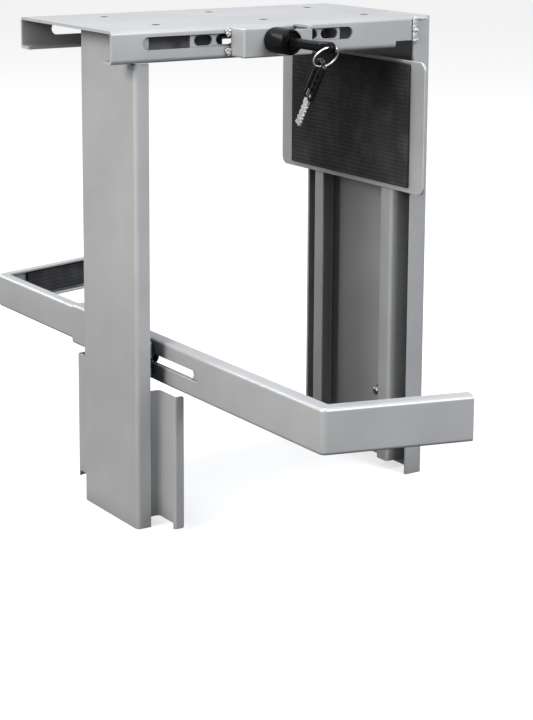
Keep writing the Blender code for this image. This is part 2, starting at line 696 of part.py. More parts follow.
def build_housing(parts, cutters):
    """The bent housing on the channel's front flange, with a bore for the lock's barrel."""
    back = -CHANNEL_WIDTH / 2 - GAP
    housing = box("lock_housing", (HOUSING_LEFT, HOUSING_FRONT, HOUSING_BOTTOM),
                  (HOUSING_RIGHT, back, HOUSING_TOP), parts, "powder")
    edge = housing.modifiers.new("Edges", "BEVEL")
    edge.width = 1.2 * MM
    edge.segments = 3
    hollow = box("cut_housing", (HOUSING_LEFT + SHEET, HOUSING_FRONT + SHEET,
                                 HOUSING_BOTTOM + SHEET),
                 (HOUSING_RIGHT - SHEET, back + 5.0, HOUSING_TOP - SHEET), cutters)
    window = box("cut_housing_top", (LOCK_X - 3.0, HOUSING_FRONT + SHEET + 0.4,
                                     HOUSING_TOP - 4.0),
                 (HOUSING_RIGHT - 3.4, back + 5.0, HOUSING_TOP + 4.0), cutters)
    notch = box("cut_housing_notch", (LOCK_X + 2.0, HOUSING_FRONT - 2.0, HOUSING_TOP - 2.6),
                (HOUSING_RIGHT - 3.4, HOUSING_FRONT + SHEET + 1.0, HOUSING_TOP + 4.0), cutters)
    bore = rod("cut_housing_bore", (LOCK_X, HOUSING_FRONT - 5.0, LOCK_Z),
               (LOCK_X, HOUSING_FRONT + 6.0, LOCK_Z), STEM_R + GAP, cutters, sides=40)
    cut(housing, [hollow, window, notch, bore])
    for side, x in (("left", HOUSING_LEFT - GAP - 0.9), ("right", HOUSING_RIGHT + GAP + 0.9)):
        for level, z in (("upper", -4.2), ("lower", -17.2)):
            points = [(x, back - 0.9, z + step) for step in (-1.8, 0.0, 1.8)]
            bead = tube(f"housing_weld_{side}_{level}", points, 0.9, parts, "weld")
            set_origin(bead, (x, back - 0.9, z))


def build_lock(parts, cutters):
    """The push lock: sleeve, plunger, bolt, spring and core, with the key in it."""
    axis = (0, 1, 0)
    centre = Vector((LOCK_X, 0.0, LOCK_Z))

    def at(y):
        return centre + Vector((0.0, y, 0.0))

    shoulder = HOUSING_FRONT - 2.3
    flange = HOUSING_FRONT - GAP - SLEEVE_FRONT
    length = HOUSING_FRONT + SHEET + 2.1 - SLEEVE_FRONT
    mouth, bore = PLUNGER_R + GAP, PLUNGER_STEM + GAP
    step = shoulder - SLEEVE_FRONT
    turned("lock_sleeve", [(mouth, 0.0), (SLEEVE_R - 0.9, 0.0), (SLEEVE_R, 0.9),
                           (SLEEVE_R, flange), (STEM_R, flange), (STEM_R, length),
                           (bore, length), (bore, step), (mouth, step), (mouth, 0.0)],
           at(SLEEVE_FRONT), axis, parts, "black_plastic", sides=40, closed=True)

    face = SLEEVE_FRONT + 1.0
    collar = 6.2
    length = PLUNGER_REAR - face
    plunger = turned("lock_plunger", [(0.0, length), (PLUNGER_STEM, length),
                                      (PLUNGER_STEM, collar), (PLUNGER_R, collar),
                                      (PLUNGER_R, 0.5), (PLUNGER_R - 0.5, 0.0), (0.0, 0.0)],
                     at(face), axis, parts, "black_plastic", sides=40)
    cut(plunger, [rod("cut_core_bore", at(face - 3.0), at(face + 19.4), CORE_R + 0.2, cutters,
                      sides=32)])
    core = rod("lock_core", at(face + 0.4), at(face + 19.0), CORE_R, parts, "steel", sides=32)
    cut(core, [box("cut_keyway", at(face - 2.0) - Vector((1.1, 0.0, 3.3)),
                   at(face + 18.2) + Vector((1.1, 0.0, 3.3)), cutters)])

    box("lock_bolt", (BOLT_X - 5.6, PLUNGER_REAR + GAP, LOCK_Z - 2.4),
        (BOLT_X + 1.0, -CHANNEL_WIDTH / 2 + SHEET + 0.2, LOCK_Z + 2.4), parts, "steel",
        bevel=0.5)

    turns, sides, coil_r = 5, 12, PLUNGER_STEM + 1.1
    start, end = face + collar + 0.7, shoulder - 0.7
    total = turns * sides
    coil = []
    for step in range(total + 1):
        angle = 2 * math.pi * step / sides
        coil.append(at(start + (end - start) * step / total)
                    + Vector((math.cos(angle), 0.0, math.sin(angle))) * coil_r)
    spring = tube("lock_spring", coil, 0.4, parts, "steel")
    set_origin(spring, at(shoulder))

    blade = box("key_blade", at(SLEEVE_FRONT - 6.0) - Vector((0.9, 0.0, 3.0)),
                at(face + 17.6) + Vector((0.9, 0.0, 3.0)), parts, "steel")
    head = key_head("key_head", KEY_FRONT, SLEEVE_FRONT - 0.6, parts)
    eye = at(KEY_FRONT + 4.4)
    side = Vector((8.0, 0.0, 0.0))
    cut(head, [box("cut_key_socket", at(SLEEVE_FRONT - 6.3) - Vector((1.2, 0.0, 3.3)),
                   at(SLEEVE_FRONT + 6.0) + Vector((1.2, 0.0, 3.3)), cutters),
               rod("cut_key_eye", eye - side, eye + side, 2.2, cutters, sides=20)])
    for piece in (core, blade, head):
        set_origin(piece, at(SLEEVE_FRONT))
    build_keys(parts, cutters, eye)


def build_keys(parts, cutters, eye):
    """The ring through the key's eye and the spare key that hangs on it."""
    down = Vector((0.0, math.sin(RING_TILT), -math.cos(RING_TILT)))
    middle = eye + down * (RING_R - 0.9)
    across = Vector((1.0, 0.0, 0.0))
    loop = []
    for step in range(40):
        angle = 2 * math.pi * step / 40
        loop.append(middle + (across * math.cos(angle) + down * math.sin(angle)) * RING_R)
    ring = tube("key_ring", loop, RING_WIRE, parts, "steel", closed=True)
    set_origin(ring, eye)
    build_spare_key(parts, cutters, middle + down * (RING_R - 0.9))


def key_head(name, front, back, parts):
    """A long moulded key head lying along Y, rounded at its front end."""
    width, height = 4.6, 9.2
    head = slot_cutter(name, (LOCK_X, (front + back) / 2, LOCK_Z), back - front, height, width,
                       "Y", "X", parts)
    give_material(head, "black_plastic")
    edge = head.modifiers.new("Edges", "BEVEL")
    edge.width = 0.7 * MM
    edge.segments = 2
    edge.limit_method = "ANGLE"
    edge.angle_limit = math.radians(50)
    return head


def build_spare_key(parts, cutters, eye):
    """The spare key on the ring: a moulded head with an eye, and a notched blade."""
    down = Vector((0.0, math.sin(SPARE_TILT), -math.cos(SPARE_TILT)))
    length, width, depth = 31.0, 11.0, 4.6
    pivot = Vector((0.0, 0.0, 0.0))
    head = slot_cutter("spare_key_head", (0.0, length / 2 - 3.4, 0.0), length, width, depth,
                       "Y", "X", parts)
    give_material(head, "black_plastic")
    edge = head.modifiers.new("Edges", "BEVEL")
    edge.width = 0.7 * MM
    edge.segments = 2
    edge.limit_method = "ANGLE"
    edge.angle_limit = math.radians(50)
    hole = rod("cut_spare_eye", (-8.0, 0.0, 0.0), (8.0, 0.0, 0.0), 2.0, cutters, sides=20)
    half = 2.5
    socket = box("cut_spare_socket", (-1.2, length - 11.0, -half - 0.5),
                 (1.2, length, half + 0.5), cutters)
    tip = length + 17.3
    blade = box("spare_key_blade", (-0.9, length - 10.7, -half), (0.9, tip, half), parts, "steel")
    notches = [rod("cut_notch", (-4.0, length + 2.0 + 4.0 * i, half + 1.1),
                   (4.0, length + 2.0 + 4.0 * i, half + 1.1), 2.0, cutters, sides=12)
               for i in range(4)]
    cut(head, [hole, socket])
    cut(blade, notches)
    holder = bpy.data.objects.new("spare_key_pivot", None)
    parts.objects.link(holder)
    holder.location = eye * MM
    holder.rotation_euler.x = math.atan2(down.z, down.y)
    for piece in [head, blade, hole, socket, *notches]:
        set_origin(piece, pivot)
        piece.parent = holder


def main():
    """Clear the scene and build every piece."""
    for obj in list(bpy.data.objects):
        bpy.data.objects.remove(obj)
    parts = collection("cpu_holder")
    cutters = collection("cutters")
    build_channel(parts, cutters)
    build_right_arm(parts, cutters)
    build_welds(parts)
    build_left_arm(parts, cutters)
    build_rail(parts, cutters)
    build_left_plate(parts, cutters)
    build_left_pads(parts)
    build_right_plate(parts, cutters)
    build_studs(parts, cutters)
    build_bands(parts, cutters)
    build_band_bracket(parts, cutters)
    build_housing(parts, cutters)
    build_lock(parts, cutters)


main()
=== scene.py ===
"""Visual model of an under-desk computer holder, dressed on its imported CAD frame.

A slotted top channel carries a fixed arm and a sliding arm. A push lock with its key fixes the
sliding arm, and two hooked bands on that arm hold the computer case from the front and the back.
"""
from __future__ import annotations

import json
import logging
import math
from dataclasses import dataclass, field, replace
from enum import Enum
from typing import Sequence

import bmesh
import bpy
from mathutils import Matrix, Vector, noise

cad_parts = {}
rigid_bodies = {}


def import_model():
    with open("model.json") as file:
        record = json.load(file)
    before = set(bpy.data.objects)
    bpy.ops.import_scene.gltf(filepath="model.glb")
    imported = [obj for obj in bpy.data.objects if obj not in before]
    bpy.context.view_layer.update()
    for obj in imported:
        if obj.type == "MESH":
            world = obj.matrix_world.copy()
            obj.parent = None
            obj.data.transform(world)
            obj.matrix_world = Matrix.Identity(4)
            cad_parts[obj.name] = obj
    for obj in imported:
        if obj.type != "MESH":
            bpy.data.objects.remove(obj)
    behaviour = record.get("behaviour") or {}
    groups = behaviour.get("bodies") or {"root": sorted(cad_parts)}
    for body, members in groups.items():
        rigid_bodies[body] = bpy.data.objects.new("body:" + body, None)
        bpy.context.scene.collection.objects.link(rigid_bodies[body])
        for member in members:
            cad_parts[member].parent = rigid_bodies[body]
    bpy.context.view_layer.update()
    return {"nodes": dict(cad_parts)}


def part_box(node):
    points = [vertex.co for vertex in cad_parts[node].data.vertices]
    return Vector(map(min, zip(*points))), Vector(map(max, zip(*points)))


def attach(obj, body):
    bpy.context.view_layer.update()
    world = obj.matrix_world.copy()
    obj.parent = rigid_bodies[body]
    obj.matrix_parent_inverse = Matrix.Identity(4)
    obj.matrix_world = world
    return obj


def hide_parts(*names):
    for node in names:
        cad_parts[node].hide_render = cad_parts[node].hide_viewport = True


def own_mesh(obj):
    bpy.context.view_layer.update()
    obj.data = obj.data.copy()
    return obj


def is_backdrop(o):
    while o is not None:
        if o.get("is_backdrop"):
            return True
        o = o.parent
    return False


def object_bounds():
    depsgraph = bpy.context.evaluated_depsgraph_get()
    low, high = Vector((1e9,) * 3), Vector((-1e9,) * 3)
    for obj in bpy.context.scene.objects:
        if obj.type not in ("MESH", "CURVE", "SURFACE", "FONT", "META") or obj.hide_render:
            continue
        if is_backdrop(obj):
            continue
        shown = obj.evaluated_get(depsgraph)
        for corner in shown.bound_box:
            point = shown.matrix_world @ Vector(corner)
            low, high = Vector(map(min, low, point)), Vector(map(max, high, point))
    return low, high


LOG = logging.getLogger("cpu_holder")
MM = 0.001
ACROSS = Vector((1.0, 0.0, 0.0))
EDGE_FINISH_INDEX, EXTRA_FINISH = 1, 2  # material indices after a dressed piece's main finish

Socket = bpy.types.NodeSocket
Point = tuple[float, float, float]
Colour = tuple[float, float, float]
Shade = Colour | Socket


class Body(Enum):
    """The moving bodies of the holder."""

    FRAME = "frame"
    ARM = "sliding_arm"
    CARRIER = "band_carrier"
    FRONT_BAND = "front_band"
    REAR_BAND = "rear_band"
    PLUNGER = "lock_plunger"
    CORE = "lock_core"
    RING = "key_ring"
    SPARE = "spare_key"


class Slot(Enum):
    """The record's material slots."""

    POWDER = "powder"
    STEEL = "steel"
    RUBBER = "rubber"
    PLASTIC = "plastic"
    WELD = "weld"


# ----- node graphs


@dataclass(frozen=True)
class Speckle:
    """A noise field: features per metre, octaves, and the part of its range that counts."""

    scale: float
    detail: float
    start: float = 0.3
    end: float = 0.7


@dataclass(frozen=True)
class Grain:
    """A noise field that shows as relief, with its strength and its height in metres."""

    scale: float
    detail: float
    strength: float
    height: float


class Graph:
    """A material's node tree, with short calls for the nodes that the finishes need."""

    def __init__(self, name: str) -> None:
        """Makes an empty node material.

        Args:
            name: The material's name.
        """
        self.material = bpy.data.materials.new(name)
        self.material.use_nodes = True
        self.tree = self.material.node_tree
        self.shader = self.tree.nodes["Principled BSDF"]
        self.place = self.tree.nodes.new("ShaderNodeTexCoord").outputs["Object"]

    def feed(self, node: bpy.types.Node, inputs: dict[str | int, float | Shade]) -> None:
        """Gives a node's inputs their constants or links.

        Args:
            node: The node.
            inputs: A number, a vector, a colour or a socket for each input.
        """
        for key, value in inputs.items():
            target = node.inputs[key]
            if isinstance(value, Socket):
                self.tree.links.new(value, target)
            elif target.type == "RGBA":
                target.default_value = (*value, 1.0)
            else:
                target.default_value = value

    def node(self, kind: str, inputs: dict[str | int, float | Shade]) -> bpy.types.Node:
        """Adds a node.

        Args:
            kind: The node's type, without its common prefix.
            inputs: A number, a vector, a colour or a socket for each input.

        Returns:
            The new node.
        """
        made = self.tree.nodes.new("ShaderNode" + kind)
        self.feed(made, inputs)
        return made

    def noise(self, scale: float, detail: float = 2.0,
              stretch: Point = (1.0, 1.0, 1.0)) -> Socket:
        """Makes a noise field.

        Args:
            scale: Features per metre, roughly.
            detail: Octaves of finer noise.
            stretch: How the field is stretched along each axis.

        Returns:
            The noise value socket.
        """
        mapping = self.node("Mapping", {"Scale": stretch, "Vector": self.place})
        return self.node("TexNoise", {"Scale": scale, "Detail": detail,
                                      "Vector": mapping.outputs["Vector"]}).outputs["Fac"]

    def bands(self, scale: float, direction: str) -> Socket:
        """Makes parallel ridges across one axis.

        Args:
            scale: The wave texture's scale.
            direction: The axis that the ridges cross: X, Y or Z.

        Returns:
            The wave's value socket.
        """
        node = self.node("TexWave", {"Scale": scale, "Vector": self.place})
        node.wave_type = "BANDS"
        node.bands_direction = direction
        return node.outputs["Fac"]

    def spread(self, value: Socket, low: float, high: float,
               start: float = 0.3, end: float = 0.7) -> Socket:
        """Maps a value from one range to another.

        Args:
            value: The value to map.
            low: The result at the start of the range.
            high: The result at the end of the range.
            start: The value where the range starts.
            end: The value where the range ends.

        Returns:
            The mapped value socket.
        """
        return self.node("MapRange", {"Value": value, "From Min": start, "From Max": end,
                                      "To Min": low, "To Max": high}).outputs["Result"]

    def speckled(self, field: Speckle, low: float, high: float) -> Socket:
        """Gives a value that wanders between two limits.

        Args:
            field: The noise field that it follows.
            low: The lower limit.
            high: The upper limit.

        Returns:
            The value socket.
        """
        value = self.noise(field.scale, field.detail)
        return self.spread(value, low, high, field.start, field.end)

    def recess(self, reach: float) -> Socket:
        """Gives a mask that is 1 in the open and falls to 0 in corners and hollows.

        Args:
            reach: How far off a neighbouring surface still counts, in metres.

        Returns:
            The mask's value socket.
        """
        # this mask places the powder coat's painted shade
        node = self.node("AmbientOcclusion", {"Distance": reach})
        node.samples = 6
        return self.spread(node.outputs["AO"], 0.0, 1.0, start=0.15, end=0.62)

    def mix(self, factor: Socket, first: Shade, second: Shade) -> Socket:
        """Mixes two colours.

        Args:
            factor: The mask, 0 for the first colour and 1 for the second.
            first: A colour, or a colour socket.
            second: A colour, or a colour socket.

        Returns:
            The mixed colour socket.
        """
        node = self.tree.nodes.new("ShaderNodeMix")
        node.data_type = "RGBA"
        self.feed(node, {"Factor": factor, 6: first, 7: second})
        return node.outputs[2]

    def bump(self, height: Socket, strength: float, distance: float,
             under: Socket | None = None) -> Socket:
        """Makes a bump normal.

        Args:
            height: The height field.
            strength: How strongly it shows, 0 to 1.
            distance: The height of a full step, in metres.
            under: A normal that this one is laid over.

        Returns:
            The normal socket.
        """
        node = self.node("Bump", {"Height": height, "Strength": strength, "Distance": distance})
        if under is not None:
            self.feed(node, {"Normal": under})
        return node.outputs["Normal"]

    def relief(self, grain: Grain, under: Socket | None = None) -> Socket:
        """Makes the bump normal of a grain.

        Args:
            grain: The grain.
            under: A normal that this one is laid over.

        Returns:
            The normal socket.
        """
        height = self.noise(grain.scale, grain.detail)
        return self.bump(height, grain.strength, grain.height, under)

    def finish(self, colour: Shade, roughness: float | Socket, metallic: float,
               normal: Socket | None = None, specular: float = 0.5) -> bpy.types.Material:
        """Connects the shader.

        Args:
            colour: The base colour or its socket.
            roughness: The roughness or its socket.
            metallic: 0 for paint and plastic, 1 for bare metal.
            normal: The bump normal.
            specular: The specular level.

        Returns:
            The finished material.
        """
        self.feed(self.shader, {"Base Color": colour, "Roughness": roughness,
                                "Metallic": metallic, "Specular IOR Level": specular})
        if normal is not None:
            self.feed(self.shader, {"Normal": normal})
        return self.material


# ----- finishes


@dataclass(frozen=True)
class Finish:
    """What every finish has: its material's name and its slot in the record."""

    name: str
    slot: Slot

    def build(self) -> bpy.types.Material:
        """Makes the material."""
        raise NotImplementedError

    def edge_finish(self) -> Finish:
        """Gives the finish of a piece's edges."""
        return self


@dataclass(frozen=True)
class PowderCoat(Finish):
    """Satin silver-grey powder coat: fine orange peel, faint mottle, painted shade in corners and
    hollows, and edges thinner and lighter, the lighter colour partly a painted highlight.
    """

    name: str = "silver_grey_powder_coat"
    slot: Slot = Slot.POWDER
    light: Colour = (0.425, 0.428, 0.432)
    dark: Colour = (0.380, 0.384, 0.390)
    spark: Colour = (0.56, 0.57, 0.58)
    # edge: the lighter colour of the edge finish, partly coat worn thin and partly painted
    # highlight
    edge: Colour = (0.66, 0.67, 0.68)
    # painted shade: the colour that corners and hollows are darkened towards
    painted_shade: Colour = (0.09, 0.092, 0.095)
    rough: tuple[float, float] = (0.36, 0.46)
    # wear: how far the colour goes towards the edge colour; 0 on faces, on edges partly wear and
    # partly painted highlight
    wear: float = 0.0
    least_edge_lightening: float = 0.35
    metallic: float = 0.3
    sparkle: float = 0.35
    # how far off a neighbouring surface the painted shade still reaches, in metres
    painted_shade_reach: float = 0.03
    mottle: Speckle = Speckle(14.0, 4.0, 0.35, 0.65)
    flakes: Speckle = Speckle(2600.0, 1.0, 0.55, 0.8)
    edge_wear_and_highlight: Speckle = Speckle(60.0, 3.0)
    satin: Speckle = Speckle(38.0, 3.0)
    peel: Grain = Grain(520.0, 2.0, 0.10, 0.0003)
    fine_peel: Grain = Grain(2400.0, 1.0, 0.06, 0.0001)

    def build(self) -> bpy.types.Material:
        """Makes the material.

        Returns:
            The material.
        """
        graph = Graph(self.name)
        colour = graph.mix(graph.speckled(self.mottle, 0.0, 1.0), self.light, self.dark)
        colour = graph.mix(graph.speckled(self.flakes, 0.0, self.sparkle), colour, self.spark)
        wear_and_highlight = graph.speckled(self.edge_wear_and_highlight, self.wear * self.least_edge_lightening, self.wear)
        # the edge finish lightens towards the edge colour: partly worn-thin coat, partly painted
        # highlight
        colour = graph.mix(wear_and_highlight, colour, self.edge)
        # painted shade: corners and hollows darken towards the shade colour
        colour = graph.mix(graph.recess(self.painted_shade_reach), self.painted_shade, colour)
        rough = graph.speckled(self.satin, *self.rough)
        normal = graph.relief(self.fine_peel, graph.relief(self.peel))
        return graph.finish(colour, rough, self.metallic, normal)

    def edge_finish(self) -> PowderCoat:
        """Gives the coat of a piece's edges: smoother, worn thin and lighter, the lighter colour
        partly a painted highlight.
        """
        return replace(self, name=self.name + "_edge", wear=0.85, rough=(0.26, 0.36))


@dataclass(frozen=True)
class PlatedSteel(Finish):
    """Bright plated steel with drawn marks; threaded pieces get rings across their axis."""

    name: str = "bright_plated_steel"
    slot: Slot = Slot.STEEL
    colour: Colour = (0.66, 0.66, 0.67)
    dull: Colour = (0.48, 0.48, 0.47)
    rough: tuple[float, float] = (0.16, 0.34)
    metallic: float = 1.0
    tone: Speckle = Speckle(90.0, 3.0, 0.35, 0.7)
    drawn_scale: float = 30.0
    drawn: Point = (60.0, 8.0, 60.0)
    thread_axis: str = ""
    thread_scale: float = 314.0

    def build(self) -> bpy.types.Material:
        """Makes the material.

        Returns:
            The material.
        """
        graph = Graph(self.name)
        colour = graph.mix(graph.speckled(self.tone, 0.0, 1.0), self.colour, self.dull)
        marks = graph.noise(self.drawn_scale, stretch=self.drawn)
        rough = graph.spread(marks, *self.rough)
        normal = graph.bump(marks, strength=0.08, distance=0.0001)
        if self.thread_axis:
            rings = graph.bands(self.thread_scale, self.thread_axis)
            normal = graph.bump(rings, strength=0.9, distance=0.0004, under=normal)
        return graph.finish(colour, rough, self.metallic, normal)


@dataclass(frozen=True)
class BlackMoulding(Finish):
    """Black moulded plastic with a fine spark-eroded grain and polished edges."""

    name: str = "black_moulded_plastic"
    slot: Slot = Slot.PLASTIC
    colour: Colour = (0.0045, 0.0045, 0.005)
    rubbed: Colour = (0.008, 0.008, 0.0085)
    rough: tuple[float, float] = (0.22, 0.34)
    wear: float = 0.4
    gloss: float = 0.22
    handling: Speckle = Speckle(70.0, 3.0, 0.45, 0.75)
    satin: Speckle = Speckle(160.0, 3.0)
    grain: Grain = Grain(1900.0, 2.0, 0.05, 0.0002)

    def build(self) -> bpy.types.Material:
        """Makes the material.

        Returns:
            The material.
        """
        graph = Graph(self.name)
        handled = graph.speckled(self.handling, 0.0, self.wear)
        colour = graph.mix(handled, self.colour, self.rubbed)
        rough = graph.speckled(self.satin, *self.rough)
        return graph.finish(colour, rough, 0.0, graph.relief(self.grain), self.gloss)

    def edge_finish(self) -> BlackMoulding:
        """Gives the polished plastic of a piece's edges."""
        return replace(self, name=self.name + "_edge", wear=1.0, rough=(0.14, 0.24))


@dataclass(frozen=True)
class RubberSheet(Finish):
    """Dull black rubber with a ribbed face and a little dust."""

    name: str = "ribbed_black_rubber"
    slot: Slot = Slot.RUBBER
    colour: Colour = (0.018, 0.018, 0.019)
    dust: Colour = (0.055, 0.055, 0.054)
    rough: tuple[float, float] = (0.72, 0.9)
    gloss: float = 0.3
    rib_scale: float = 105.0
    dusting: Speckle = Speckle(45.0, 4.0, 0.45, 0.75)
    matt: Speckle = Speckle(300.0, 2.0)
    grain: Grain = Grain(1500.0, 3.0, 0.35, 0.0002)

    def build(self) -> bpy.types.Material:
        """Makes the material.

        Returns:
            The material.
        """
        graph = Graph(self.name)
        colour = graph.mix(graph.speckled(self.dusting, 0.0, 0.7), self.colour, self.dust)
        rough = graph.speckled(self.matt, *self.rough)
        ribs = graph.bump(graph.bands(self.rib_scale, "Z"), strength=0.35, distance=0.0004)
        return graph.finish(colour, rough, 0.0, graph.relief(self.grain, ribs), self.gloss)


@dataclass(frozen=True)
class PaintedWeld(Finish):
    """Weld metal under the powder coat: rippled, with small pores."""

    name: str = "painted_weld"
    slot: Slot = Slot.WELD
    colour: Colour = (0.44, 0.45, 0.46)
    pore: Colour = (0.20, 0.20, 0.21)
    rough: tuple[float, float] = (0.3, 0.5)
    metallic: float = 0.35
    pores: Speckle = Speckle(900.0, 3.0, 0.58, 0.68)
    satin: Speckle = Speckle(500.0, 2.0)
    ripple: Grain = Grain(800.0, 3.0, 0.5, 0.0006)

    def build(self) -> bpy.types.Material:
        """Makes the material.

        Returns:
            The material.
        """
        graph = Graph(self.name)
        colour = graph.mix(graph.speckled(self.pores, 0.0, 1.0), self.colour, self.pore)
        rough = graph.speckled(self.satin, *self.rough)
        return graph.finish(colour, rough, self.metallic, graph.relief(self.ripple))


@dataclass(frozen=True)
class StudioFloor:
    """Plain pale floor with a faint glow."""

    name: str = "pale_floor"
    colour: Colour = (0.42, 0.42, 0.42)
    shade: float = 0.985
    rough: float = 0.7
    glow: float = 0.58
    tone: Speckle = Speckle(3.0, 2.0)

    def build(self) -> bpy.types.Material:
        """Makes the material.

        Returns:
            The material.
        """
        graph = Graph(self.name)
        darker = tuple(value * self.shade for value in self.colour)
        colour = graph.mix(graph.speckled(self.tone, 0.0, 1.0), self.colour, darker)
        graph.shader.inputs["Emission Color"].default_value = (1.0, 1.0, 1.0, 1.0)
        graph.shader.inputs["Emission Strength"].default_value = self.glow
        return graph.finish(colour, self.rough, 0.0)


@dataclass
class Palette:
    """The holder's finishes, each built once."""

    powder: PowderCoat = PowderCoat()
    steel: PlatedSteel = PlatedSteel()
    thread: PlatedSteel = PlatedSteel("threaded_steel", thread_axis="X")
    black_steel: PlatedSteel = PlatedSteel("black_oxide_steel", colour=(0.05, 0.05, 0.052),
                                           dull=(0.025, 0.025, 0.026), rough=(0.28, 0.42))
    nickel: PlatedSteel = PlatedSteel("key_nickel", colour=(0.88, 0.87, 0.85),
                                      dull=(0.70, 0.69, 0.67), rough=(0.2, 0.34), metallic=0.6)
    key_steel: PlatedSteel = PlatedSteel("lock_key_steel", colour=(0.30, 0.30, 0.30),
                                         dull=(0.18, 0.18, 0.18), rough=(0.25, 0.38))
    plastic: BlackMoulding = BlackMoulding(gloss=0.09)
    fob: BlackMoulding = BlackMoulding("black_moulded_fob", gloss=0.55, rough=(0.14, 0.24))
    glide: BlackMoulding = BlackMoulding("glide_nylon", colour=(0.03, 0.03, 0.03),
                                         rough=(0.45, 0.6))
    rubber: RubberSheet = RubberSheet()
    weld: PaintedWeld = PaintedWeld()
    made: dict[str, bpy.types.Material] = field(default_factory=dict)

    def material(self, finish: Finish) -> bpy.types.Material:
        """Gives a finish's material, building it the first time.

        Args:
            finish: The finish.

        Returns:
            Its material.
        """
        if finish.name not in self.made:
            self.made[finish.name] = finish.build()
        return self.made[finish.name]


# ----- workshop


def mesh_from(shape: bmesh.types.BMesh, name: str) -> bpy.types.Mesh:
    """Turns a working mesh into a named one.

    Args:
        shape: The working mesh, which is used up.
        name: The mesh's name.

    Returns:
        The new mesh.
    """
    mesh = bpy.data.meshes.new(name)
    shape.to_mesh(mesh)
    shape.free()
    return mesh


def put_in_scene(name: str, content: bpy.types.ID) -> bpy.types.Object:
    """Makes the object of a mesh, a light or a camera.

    Args:
        name: The object's name.
        content: Its mesh, light or camera.

    Returns:
        The new object.
    """
    made = bpy.data.objects.new(name, content)
    bpy.context.scene.collection.objects.link(made)
    return made


def evaluated(holder: bpy.types.Object) -> bpy.types.Mesh:
    """Bakes an object's modifiers into a mesh and removes the object.

    Args:
        holder: The object.

    Returns:
        The new mesh.
    """
    bpy.context.view_layer.update()
    graph = bpy.context.evaluated_depsgraph_get()
    mesh = bpy.data.meshes.new_from_object(holder.evaluated_get(graph))
    mesh.transform(holder.matrix_world)
    bpy.data.objects.remove(holder)
    return mesh


def cut(mesh: bpy.types.Mesh, tools: Sequence[bpy.types.Object]) -> bpy.types.Mesh:
    """Cuts tools out of a mesh.

    Args:
        mesh: The mesh to cut.
        tools: The cutting objects, removed afterwards.

    Returns:
        The cut mesh.
    """
    holder = put_in_scene("working", mesh)
    for tool in tools:
        step = holder.modifiers.new("cut", "BOOLEAN")
        step.solver = "EXACT"
        step.object = tool
    made = evaluated(holder)
    for tool in tools:
        bpy.data.objects.remove(tool)
    return made


@dataclass
class Workshop:
    """Turns CAD nodes and new meshes into dressed pieces that ride on their bodies."""

    nodes: dict[str, bpy.types.Object]
    palette: Palette
    join_distance: float = 0.000002
    flat_angle: float = 0.5
    edge_segments: int = 2

    def place(self, name: str, mesh: bpy.types.Mesh, body: Body, finish: Finish,
              replaces: Sequence[str]) -> bpy.types.Object:
        """Adds a piece to the scene.

        Args:
            name: The piece's name.
            mesh: Its mesh, in the holder's frame, in metres.
            body: The body it rides on.
            finish: Its finish.
            replaces: The CAD nodes that it stands for.

        Returns:
            The new object.
        """
        piece = put_in_scene(name, mesh)
        if not mesh.materials:
            mesh.materials.append(self.palette.material(finish))
        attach(piece, body.value)
        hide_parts(*replaces)
        LOG.info("%s on %s, %d faces", name, body.value, len(mesh.polygons))
        return piece

    def clean_copy(self, node: str) -> bpy.types.Mesh:
        """Copies a CAD node's mesh, joined up and with its flat faces merged.

        Args:
            node: The CAD node.

        Returns:
            The new mesh.
        """
        shape = bmesh.new()
        shape.from_mesh(self.nodes[node].data)
        bmesh.ops.remove_doubles(shape, verts=shape.verts, dist=self.join_distance)
        bmesh.ops.dissolve_limit(shape, angle_limit=math.radians(self.flat_angle),
                                 verts=shape.verts, edges=shape.edges)
        return mesh_from(shape, node + "_dressed")

    def dressed(self, node: str, body: Body, finish: Finish, edge: float,
                cuts: Sequence[bpy.types.Object] = ()) -> bpy.types.Object:
        """Replaces a CAD node by the same shape with rounded edges.

        Args:
            node: The CAD node.
            body: The body it rides on.
            finish: Its finish.
            edge: The edges' radius in millimetres.
            cuts: Tools cut out of it, which are used up.

        Returns:
            The dressed piece.
        """
        mesh = self.clean_copy(node)
        if cuts:
            mesh = cut(mesh, cuts)
        mesh = self.rounded(mesh, edge, finish)
        return self.place("dressed_" + node, mesh, body, finish, [node])

    def dress_all(self, nodes: Sequence[str], body: Body, finish: Finish, edge: float) -> None:
        """Replaces several CAD nodes of one body by the same shapes with rounded edges.

        Args:
            nodes: The CAD nodes.
            body: The body they ride on.
            finish: Their finish.
            edge: The edges' radius in millimetres.
        """
        for node in nodes:
            self.dressed(node, body, finish, edge)

    def rounded(self, mesh: bpy.types.Mesh, edge: float, finish: Finish,
                angle: float = 34.0) -> bpy.types.Mesh:
        """Rounds a mesh's sharp edges, dresses it and shades it smooth.

        Args:
            mesh: The mesh to round.
            edge: The radius in millimetres.
            finish: The finish of its faces; its edges get its edge finish, which on the powder coat
                is lighter, partly as a painted highlight.
            angle: Edges sharper than this, in degrees, are rounded.

        Returns:
            The rounded mesh.
        """
        mesh.materials.clear()
        mesh.materials.append(self.palette.material(finish))
        mesh.materials.append(self.palette.material(finish.edge_finish()))
        mesh.shade_smooth()
        holder = put_in_scene("working", mesh)
        step = holder.modifiers.new("edges", "BEVEL")
        step.width = edge * MM
        step.segments = self.edge_segments
        step.limit_method = "ANGLE"
        step.angle_limit = math.radians(angle)
        step.use_clamp_overlap = True
        # the rounded edges take the edge finish; on the powder coat its lighter colour is partly a
        # painted highlight
        step.material = EDGE_FINISH_INDEX
        lean = holder.modifiers.new("normals", "WEIGHTED_NORMAL")
        lean.weight = 100
        lean.keep_sharp = True
        return evaluated(holder)


